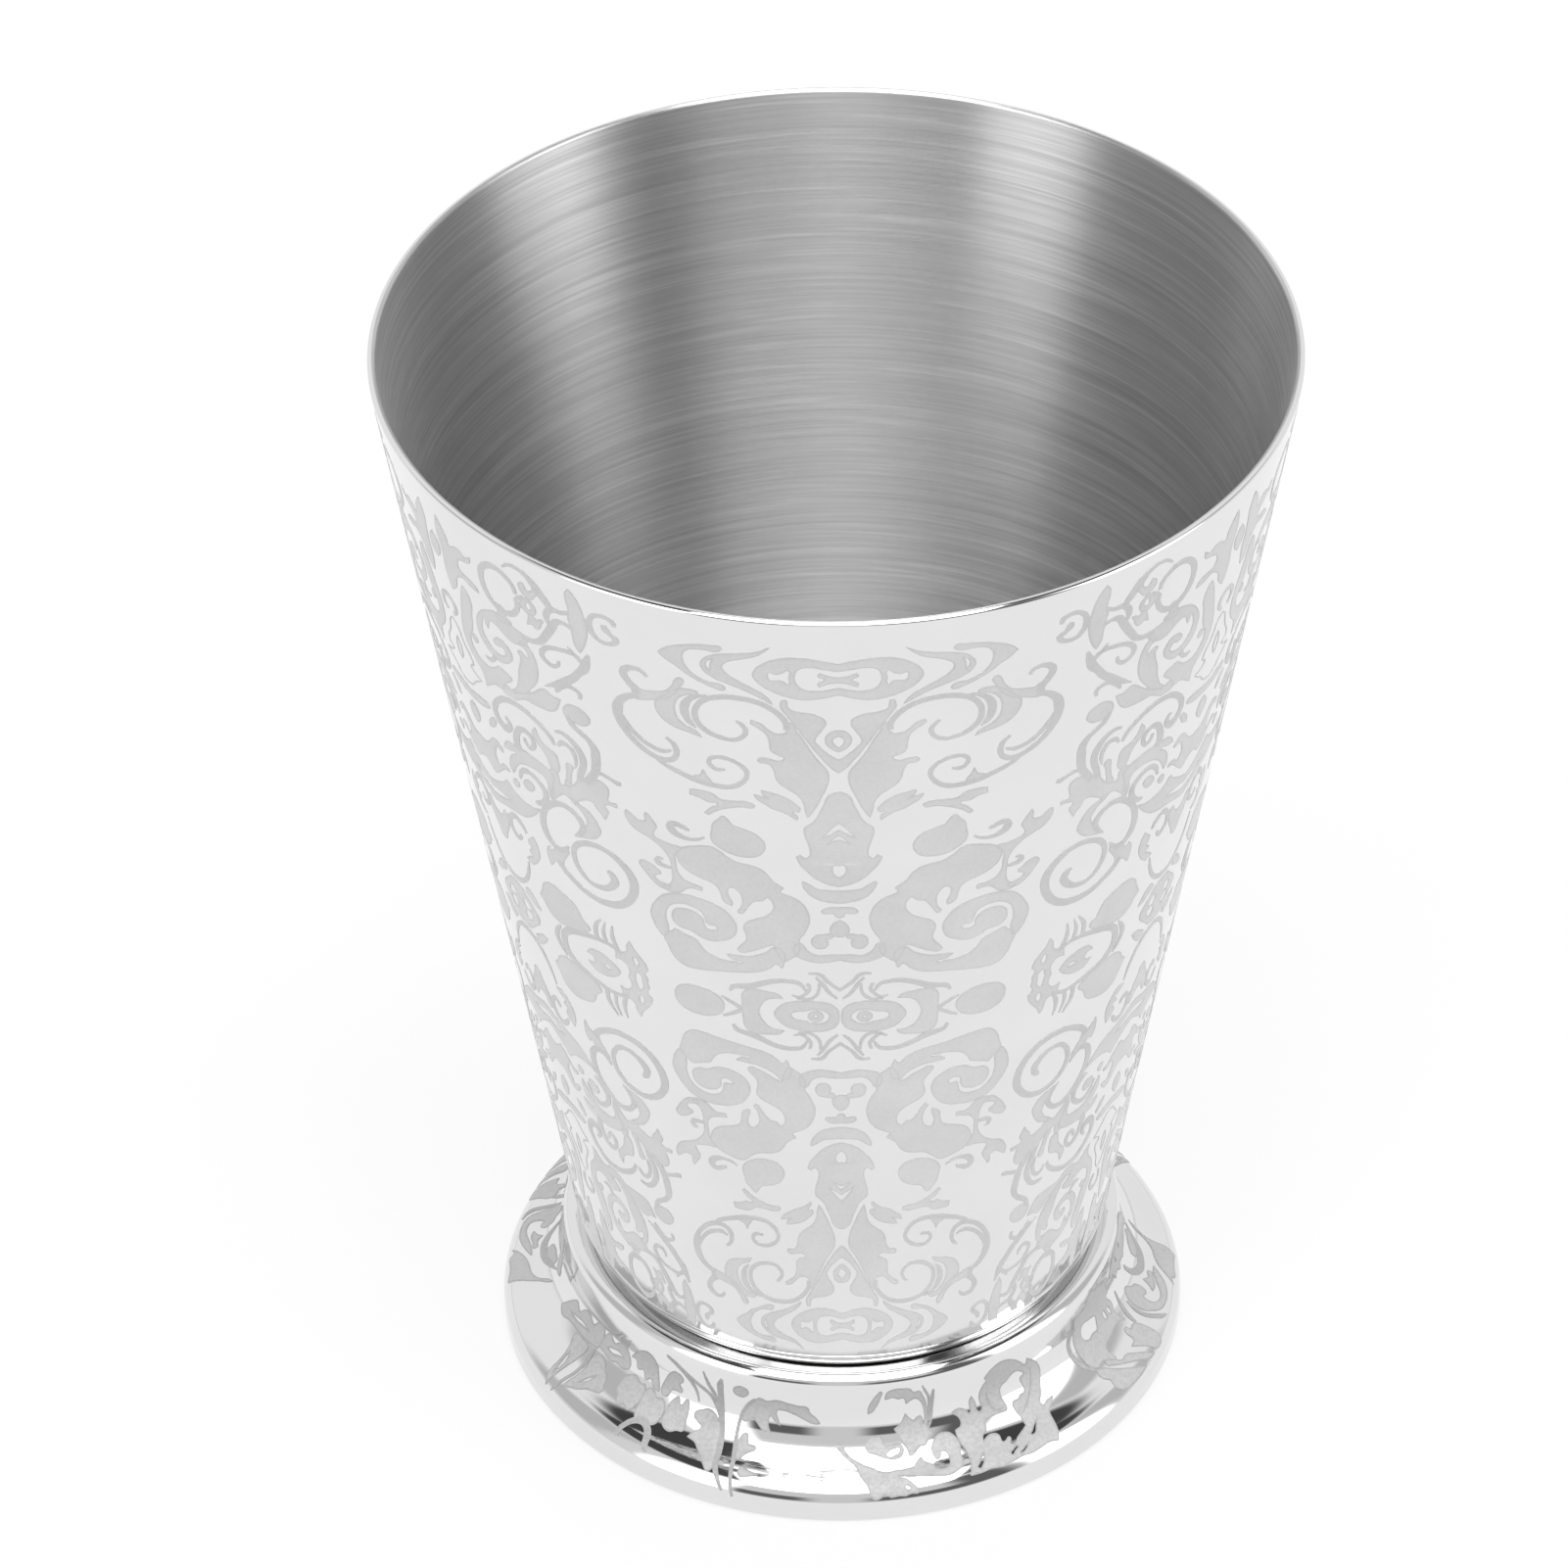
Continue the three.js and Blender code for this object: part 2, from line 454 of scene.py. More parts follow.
front_leaves = {
    "medallion": [
        [(-1, 114.1, SHARP), (0, 114.4), (2, 114.8), (4.5, 115.1), (7, 114.9), (9, 114.1), (10.2, 113),
         (10.3, 112.4), (9.6, 111.5), (8, 110.6), (6, 110), (4, 109.75), (2, 110), (0, 110.5),
         (-1, 110.7, SHARP)],
        [(-1, 113.4, SHARP), (0, 113.55), (1.5, 113.75), (3.5, 114), (4.8, 113.7), (5.3, 112.8),
         (5.2, 111.9), (4.6, 111.2), (3, 110.85), (1.5, 111), (0, 111.3), (-1, 111.4, SHARP)],
        [(6, 113.5), (6.8, 113.1), (7.6, 112.9), (8.3, 113.1), (8.6, 112.5), (8.3, 112), (7.6, 112),
         (6.8, 112), (6.1, 111.6), (5.9, 112.5)],
    ],
    "medallion star": [
        [(-1, 112.75, SHARP), (0.8, 112.75), (2.2, 113.2, SHARP), (2.4, 112.9), (1.6, 112.4),
         (2.4, 111.9), (2.3, 111.5, SHARP), (0.8, 112), (-1, 112, SHARP)],
    ],
    "inner flame": [
        [(8.1, 116.3, SHARP), (9.5, 115.6), (11.5, 115.15), (13.5, 114.85), (15.3, 114.4), (16.4, 113.7),
         (16.8, 113), (16.4, 112.2), (15.2, 111.5), (13.5, 111), (11.5, 110.4), (9.5, 109.6),
         (8.1, 108.9, SHARP), (9, 109.9), (10.5, 110.7), (12.5, 111.6), (13.7, 112.3), (14.2, 113.1),
         (13.6, 113.8), (12, 114.4), (10, 115)],
        [(15.1, 114.1, SHARP), (16, 113.6), (16.2, 112.9), (15.7, 112.2, SHARP), (15.6, 112.9),
         (15.5, 113.4)],
    ],
    "outer flame": [
        [(14.1, 115.6), (15.5, 115.65), (17.5, 115.4), (19.5, 114.9), (21.3, 114.2),
         (22.2, 113.5, SHARP), (21.3, 112.8), (20, 112.2), (18.5, 111.3), (17, 110.7), (15.5, 110.25),
         (14.1, 110.1), (14.2, 110.6), (16, 110.8), (17.5, 111.3), (18.6, 112.1), (19.1, 113), (19, 114),
         (18.2, 114.7), (16.5, 115), (14.4, 115.1)],
    ],
    "outer feather": [
        [(17.5, 109), (19.5, 109.3), (20.8, 108.8), (22, 107.9), (23.2, 107), (23.5, 106.2),
         (23.1, 105.2), (22.2, 104.4), (20.8, 103.9), (19, 103.6), (17.6, 103.3, SHARP), (18.2, 103.9),
         (19.6, 104.4), (20.6, 105.2), (20.9, 106.2), (20.7, 107.2), (20, 108.1), (18.9, 108.7)],
    ],
    "crown leaf": [
        [(19.5, 110.6), (20.2, 110.4), (20.9, 109.3), (22, 108.4), (23.6, 108), (25.2, 107.8),
         (26.2, 108.2), (26.5, 107.2), (26.4, 106.5), (25.3, 106.5), (23.8, 106.9), (22.2, 107.3),
         (20.9, 108.2), (20, 109.2)],
    ],
    "thorn": [
        [(16.9, 97.2), (17.5, 98.2), (17.85, 98.9, SHARP), (18.3, 98.1), (19.3, 97.7), (18.5, 97.2)],
    ],
    "upper leaf and ribbon": [
        [(1.6, 106.8), (2.1, 107.4), (3.4, 107.85), (5, 108.05), (6.1, 108.4), (6.4, 109.5, SHARP),
         (6.9, 109.5, SHARP), (7.1, 108.7), (6.3, 107.5), (5.2, 106.1), (4.2, 104.7), (3.1, 103.2),
         (1.9, 101.8), (0.7, 100.6), (-0.5, 99.9, SHARP), (-0.5, 101.6, SHARP), (0.6, 102.1),
         (1.5, 102.7), (2.4, 103.5), (3, 104.3), (2.7, 105), (2.1, 105.8)],
    ],
    "diamond": [
        [(-0.5, 105.7, SHARP), (0.7, 105.6), (1.5, 104.9), (1.5, 104), (0.8, 103.3),
         (-0.5, 102.7, SHARP)],
        [(-0.5, 105, SHARP), (0.3, 104.9), (0.8, 104.4), (0.4, 103.7), (-0.5, 103.3, SHARP)],
    ],
    "two-lobed leaf": [
        [(6, 106.6), (5.2, 105.4), (4.4, 104.3), (3.5, 102.8), (2.4, 101.4), (1.6, 100.5), (1.3, 99.5),
         (1.6, 98.2), (2.3, 96.8), (3.2, 95.2), (4.1, 94, SHARP), (4.4, 95), (4.7, 96.2), (5.5, 97.1),
         (6.5, 97.7), (7.6, 98.4), (8.1, 99.2), (8.3, 100.1), (8.9, 100.9), (10.2, 101.1), (10.2, 101.5),
         (9, 101.6), (7.6, 101.4), (6.9, 101.9), (7.6, 102.2), (8.5, 102.7), (8.7, 103.8), (9, 104.8),
         (9.7, 105.4), (11, 106.1, SHARP), (10.9, 106.5, SHARP), (9.8, 106.2), (8.9, 105.5), (8.2, 105.1),
         (7.2, 105), (6.5, 105.3), (6.4, 105.9)],
    ],
    "artichoke": [
        [(-0.5, 97.5, SHARP), (0.8, 97.3), (1.6, 96.6), (1.9, 95.8), (2.4, 94.9), (3, 93.8), (3.6, 93.2),
         (4.5, 92.6), (4.5, 91.4), (4.1, 90.4), (3.9, 89.4), (4, 88.7), (4.7, 88.4), (5.3, 88.8, SHARP),
         (5.8, 88.5, SHARP), (5.2, 87.4), (4.3, 86.6), (3.4, 85.8), (2.2, 85.2), (1, 84.8),
         (-0.5, 84.6, SHARP)],
        [(-0.5, 93.6, SHARP), (0.5, 93), (1.5, 92.1), (2.4, 91.1, SHARP), (1.2, 91.7),
         (-0.5, 92.6, SHARP)],
        [(-0.5, 91.9, SHARP), (0.6, 91.3), (1.7, 90.3, SHARP), (0.6, 90.8), (-0.5, 91.2, SHARP)],
        [(-0.5, 87.2, SHARP), (0.2, 87.6), (0.8, 87.5), (1, 86.9), (0.7, 86.2), (-0.5, 85.6, SHARP)],
    ],
    "cradle": [
        [(-0.5, 84, SHARP), (1.5, 84.05), (3, 84.2), (4.2, 84.8), (5.1, 85.2, SHARP), (5.1, 84.8),
         (4.3, 83.6), (3.2, 82.9), (1.6, 82.5), (-0.5, 82.3, SHARP)],
    ],
    "tee": [
        [(-0.5, 81.6, SHARP), (1.2, 81.7), (2.3, 81.4), (2.5, 81), (1.6, 80.9), (0.8, 80.9), (0.4, 80.4),
         (-0.5, 80.3, SHARP)],
    ],
    "bud": [
        [(-0.5, 79.9, SHARP), (0.5, 79.7), (1.2, 79), (1.3, 78.3), (0.8, 77.8), (-0.5, 77.6, SHARP)],
    ],
    "curl": [
        [(1, 77.9), (2.2, 77.9), (3.5, 77.7), (4.05, 77), (3.7, 76.2), (2.8, 75.95), (1.9, 76.3),
         (1.7, 76.9), (1.9, 77.3), (1.3, 77.4)],
    ],
    "yoke": [
        [(-0.5, 75.1, SHARP), (1.5, 75.1), (3.5, 75), (4.8, 75.6), (5.8, 76.6), (6.6, 76), (6.4, 74.9),
         (5, 74.3), (3, 74), (1, 74.2), (-0.5, 74.5, SHARP)],
    ],
    "inner sprig": [
        [(5.2, 94.8), (6, 95.9), (7.5, 96.7), (9, 97.05), (10.1, 97.2, SHARP), (10, 96.8),
         (9, 96.15, SHARP), (10.2, 96.4), (11.1, 96.6, SHARP), (10.7, 96), (9.6, 95.4), (8.6, 94.9),
         (7.2, 94.5), (6.2, 94), (5.6, 93.6, SHARP), (5.5, 94), (6.1, 94.7)],
    ],
    "outer sprig": [
        [(11.2, 95), (12.2, 95.4), (14, 95.3), (15.8, 95.3), (17, 95.9), (18.6, 96), (19.9, 95.9, SHARP),
         (20, 95.2, SHARP), (18.8, 95.1), (17.6, 94.7), (16.2, 94.6), (17.2, 93.9), (18.1, 93.1, SHARP),
         (17.7, 92.9, SHARP), (16.4, 93.7), (14.8, 94.3), (13.2, 94.7)],
    ],
    "seed": [
        [(10.1, 89.7), (10.6, 90.6), (11.7, 91.3), (13.2, 91.7), (14.4, 92), (15.2, 92.8), (15.6, 93),
         (16.3, 92.5), (17.1, 91.8), (17.4, 90.8), (17.6, 89.9), (17.2, 89.1), (16.2, 88.5), (14.6, 88),
         (12.8, 87.9), (11.3, 88.2), (10.4, 88.9)],
    ],
    "winged leaf": [
        [(7.8, 84.1, SHARP), (8.6, 84.5), (9.4, 85), (10.2, 85.9), (11.2, 86.5), (12.6, 86.8), (14.4, 87),
         (15.6, 87.5), (16.6, 88.1), (17.7, 88.5), (18.8, 88.4), (20.2, 88.1), (21.3, 87.8), (22.3, 87.3),
         (22.9, 86.6), (22.9, 85.8), (22.3, 85), (21.3, 84.4), (20, 84), (18.6, 83.7), (17.4, 83.2),
         (16.9, 82.3), (16.6, 81.3), (15.5, 80.8, SHARP), (15.4, 81.2), (15.8, 82), (15.9, 82.9),
         (15.3, 83.4), (14.4, 83.1), (13.8, 82.3), (13.8, 81.4), (14.1, 80.7), (14.6, 80.2, SHARP),
         (14.2, 79.9), (13.5, 80.5), (12.9, 81.2), (12.1, 81.9), (11, 82.1), (10.2, 82.6), (9.6, 82.3),
         (9.3, 81.5), (9.6, 80.7), (10.5, 80), (11.7, 79.5), (12.8, 79.1), (13.6, 78.6), (13.9, 77.9),
         (13.6, 77.1), (13.6, 76.4), (14.1, 75.8), (14.7, 75.3), (15.1, 74.8, SHARP), (14.6, 74.5),
         (13.2, 74.8), (11.8, 75.3), (10.4, 75.9), (9.6, 76.1, SHARP), (9.4, 75.4), (8.8, 74.4),
         (8.2, 73.9), (7.3, 74.3), (6.2, 75), (5.8, 76), (5.9, 77), (5.2, 77.9), (4.6, 78.9), (4.3, 80),
         (4.6, 81.1), (5.3, 82.1), (6.4, 82.8), (7.6, 83.2), (8.3, 83.6)],
    ],
    "volute": [
        [(26.6, 74.3), (27.6, 74.9), (28.2, 75.9), (28.5, 77), (28.1, 78), (27.2, 79.1), (26, 80.1),
         (24.3, 80.7), (22.3, 81), (20.2, 80.9), (18.4, 80.6), (16.8, 80), (15.7, 79.1), (15.1, 78.1),
         (15.2, 77.1), (15.9, 76.3), (17.3, 75.7), (19.1, 75.35), (20.8, 75.6), (22.2, 76.15),
         (23.8, 76.3), (24.8, 76.9), (24.9, 77.7), (24.4, 78.5), (23.2, 78.9), (21.8, 78.9),
         (20.6, 78.5), (20, 77.8), (20, 77.2), (19.2, 76.8), (18.3, 76.9), (17.7, 77.3, SHARP),
         (18.3, 77.6), (19.3, 77.6), (19.6, 78.2), (20, 79), (21, 79.5), (22.6, 79.7), (24.2, 79.4),
         (25.4, 78.7), (26, 77.7), (26.1, 76.7), (25.9, 75.7)],
    ],
    "tail leaf": [
        [(8.6, 72.9, SHARP), (9.3, 73.4), (10.5, 72.7), (12, 72.1), (14.3, 71.7), (17, 71.4),
         (19.6, 71.1), (22, 70.85), (23.8, 70.9), (25, 71.4), (25.8, 72.2), (26.2, 73.1), (26.7, 74.2),
         (26.2, 75), (25.3, 75.3), (24.8, 75.7), (23.8, 75.5), (22.6, 75.2), (21.5, 74.9), (20.9, 74.2),
         (20, 73.5), (18.8, 73.1), (17.4, 72.9), (15.6, 72.9), (14.5, 73), (16, 73.3),
         (16.9, 73.8, SHARP), (15.4, 73.9), (13.6, 74), (12, 74.4), (10.6, 75), (9.6, 75.7), (8.5, 75.5),
         (8, 74.5), (8.3, 73.6)],
    ],
    "fork": [
        [(22.3, 87.4), (23.6, 87.5), (25, 87.7), (26.3, 88.1), (26.2, 88.7), (25.7, 89.4), (26.3, 90.3),
         (27, 91.1, SHARP), (27.3, 90.5), (27.2, 90), (27.7, 89.7), (28.6, 89.7), (29.4, 90.1),
         (30.2, 90.5, SHARP), (30.4, 89.9), (29.9, 88.9), (29.1, 88.3), (27.8, 87.9), (26.5, 87.5),
         (25.4, 86.9), (24.6, 86.2), (24.1, 85.4), (24, 84.4), (24, 83.4), (24.2, 82.5), (24.8, 81.8),
         (25.7, 81.4), (25.2, 81), (24.2, 81), (23, 81.3), (22.2, 81.9), (21.2, 82.2),
         (19.8, 82.1, SHARP), (19.7, 82.6, SHARP), (21.2, 82.8), (22.6, 83.2), (23.3, 84), (23.4, 85),
         (23.4, 86), (23, 86.8)],
    ],
    "claw": [
        [(24.6, 81.6), (25.6, 81.1), (26.6, 81.3), (27.7, 82), (28.8, 83.1), (29.2, 83.7), (28.8, 84.1),
         (27.8, 84.1), (26.6, 83.6), (26, 83.1), (26.8, 82.7), (27, 82.3), (26.3, 81.9), (25.4, 81.8)],
    ],
    "oval": [
        [(18.1, 66.3), (18.8, 67.4), (20.4, 68.05), (22.4, 68.25), (24.4, 68), (25.8, 67.3), (26.2, 66.3),
         (25.8, 65.3), (24.4, 64.6), (22.4, 64.3), (20.4, 64.5), (18.8, 65.2)],
    ],
    "eyepiece": [
        [(0.2, 66.3), (0.6, 67.5), (1.6, 68.1), (3.2, 68.4), (5, 68.4), (6.8, 68.3), (8.4, 67.9),
         (9.6, 67.1), (10.1, 66.3), (9.6, 65.5), (5, 64.2), (0.6, 65.1)],
        [(1.6, 66.3), (2, 66.9), (3, 67.3), (4.4, 67.3), (5.5, 67), (6.8, 66.9), (7.6, 66.3), (6.8, 65.7),
         (4.4, 65.3), (2, 65.7)],
    ],
    "pupil": [
        [(2.6, 66.3), (3.1, 66.9), (3.8, 67.05), (4.5, 66.8), (4.9, 66.3), (4.5, 65.8), (3.8, 65.55),
         (3.1, 65.7)],
        [(3.4, 66.3), (3.8, 66.6), (4.1, 66.3), (3.8, 66)],
    ],
    "brace": [
        [(8.8, 68.6, SHARP), (9.5, 69.1), (11, 69.3), (12.8, 69.4), (14.2, 69.2), (15, 68.5),
         (15.1, 67.3), (15.2, 66.3), (15.2, 64.5, SHARP), (12.5, 64.5, SHARP), (12.6, 66.3),
         (12.2, 67.3), (11.4, 68.1), (10.3, 68.5)],
    ],
}
front_scrolls = {
    "arch": [
        (6.5, 105.6, 0.6), (6.5, 106.4, 0.6), (7, 107.2, 0.6), (8.2, 108.2, 0.6), (10, 108.95, 0.65),
        (12.5, 109.25, 0.65), (15, 109, 0.65), (16.8, 108.3, 0.6), (17.9, 107.2, 0.6),
        (18.2, 106.1, 0.6), (17.8, 105, 0.6), (16.5, 104.1, 0.6), (14.8, 103.65, 0.55),
        (13.2, 103.65, 0.5), (12.1, 104.2, 0.5), (11.7, 105, 0.5), (12.1, 105.7, 0.45),
        (12.8, 106.2, 0.3),
    ],
    "inner feather": [
        (16.4, 109, 0.2), (18.4, 108.3, 0.6), (19.4, 107.2, 0.85), (19.5, 106, 0.85), (19, 105, 0.6),
        (18.2, 104.4, 0.1),
    ],
    "hook": [
        (24.2, 109.7, 0.35), (24.8, 110.25, 0.45), (26, 110.4, 0.6), (27.1, 110, 0.75),
        (27.5, 109.3, 0.8), (27, 108.5, 0.75), (26.2, 107.7, 0.8), (25.9, 107.1, 0.8),
    ],
    "great C": [
        (25.6, 106.9, 0.6), (27.2, 106.4, 0.7), (28.5, 105.5, 0.9), (29.1, 104.3, 1.1), (29.1, 103, 0.9),
        (28.5, 101.8, 0.7), (27, 100.4, 0.65), (25, 99.4, 0.65), (23.3, 99.1, 0.65), (22, 99.4, 0.6),
        (21.3, 100.2, 0.6), (21.3, 101, 0.6), (21.7, 101.7, 0.5), (22.5, 102.2, 0.3),
    ],
    "great C inner line": [
        (28.6, 103.6, 0.3), (28, 102.6, 0.55), (27.1, 101.7, 0.55), (26, 100.95, 0.55),
        (24.5, 100.4, 0.55), (23.2, 100.25, 0.55), (22, 100.6, 0.3),
    ],
    "tail": [
        (24.4, 99.1, 0.3), (23.5, 98.6, 0.5), (22, 98.1, 0.6), (20.5, 97.7, 0.65), (19, 97.35, 0.7),
        (17.5, 97.15, 0.7), (15.8, 97.05, 0.65), (14.2, 97.2, 0.6), (12.9, 97.8, 0.55), (12.1, 98.6, 0.5),
        (11.9, 99.3, 0.5), (12.4, 100.1, 0.5), (13.5, 100.7, 0.5), (15, 101, 0.5), (16.3, 100.8, 0.45),
        (16.9, 100.2, 0.45), (16.5, 99.5, 0.5), (15.6, 99.3, 0.5), (14.8, 99.45, 0.3),
    ],
    "comma": [
        (18.6, 89.6, 0.25), (19.6, 89.15, 0.35), (20.8, 88.95, 0.45), (22.2, 89.1, 0.7),
        (23.3, 89.6, 0.9), (23.5, 90.2, 0.8), (22.8, 90.6, 0.7), (21.6, 90.4, 0.6), (20.7, 90.1, 0.35),
    ],
    "small claw": [
        (24, 84.3, 0.4), (25, 84.3, 0.5), (26.2, 84.6, 0.7), (26, 85.1, 0.5), (25.3, 85.2, 0.25),
    ],
    "outer brace": [
        (5.2, 69.9, 0.3), (6, 70.8, 0.5), (7.5, 71.1, 0.6), (9.5, 71, 0.65), (11.5, 70.5, 0.7),
        (13.3, 69.9, 0.8), (15, 69.6, 0.7), (16.4, 69.3, 0.6), (16.9, 68.7, 0.35),
    ],
    "upper ribbon": [
        (-0.5, 69.9, 0.4), (0.8, 70.6, 0.4), (2, 71.4, 0.45), (3, 72.3, 0.5), (4.7, 72.4, 0.3),
    ],
    "lower ribbon": [
        (0.4, 68.9, 0.3), (1.6, 69.7, 0.45), (2.6, 70.9, 0.45), (3.6, 71.9, 0.3),
    ],
    "left twist": [
        (3.1, 71, 0.35), (3.2, 70, 0.4), (3.9, 69.1, 0.4), (5.2, 68.7, 0.4), (6.6, 69, 0.35),
        (7.3, 69.2, 0.2),
    ],
    "right twist": [
        (4.9, 71, 0.35), (4.6, 70.2, 0.45), (5.3, 69.4, 0.4), (6.5, 68.7, 0.4),
    ],
    "side sprig": [
        (15.1, 66.3, 0.5), (16.6, 67, 0.5), (18.4, 67.7, 0.3),
    ],
}
FRONT_EDGE = 31
front = drawn(front_leaves, front_scrolls)
cut(front, place=(0, 0, 0), away=(-1, 0, 0))
cut(front, place=(0, ORNAMENT_MIDDLE, 0), away=(0, -1, 0))
ruled(front, 0, FRONT_EDGE)
mirrored(front, place=(0, 0, 0), across=(-1, 1, 1))
mirrored(front, place=(0, ORNAMENT_MIDDLE, 0), across=(1, -1, 1))
cut(front, place=(0, ORNAMENT_LOW, 0), away=(0, -1, 0))
laid_on_wall("etched_front_column", front, turns=COLUMN_TURNS)

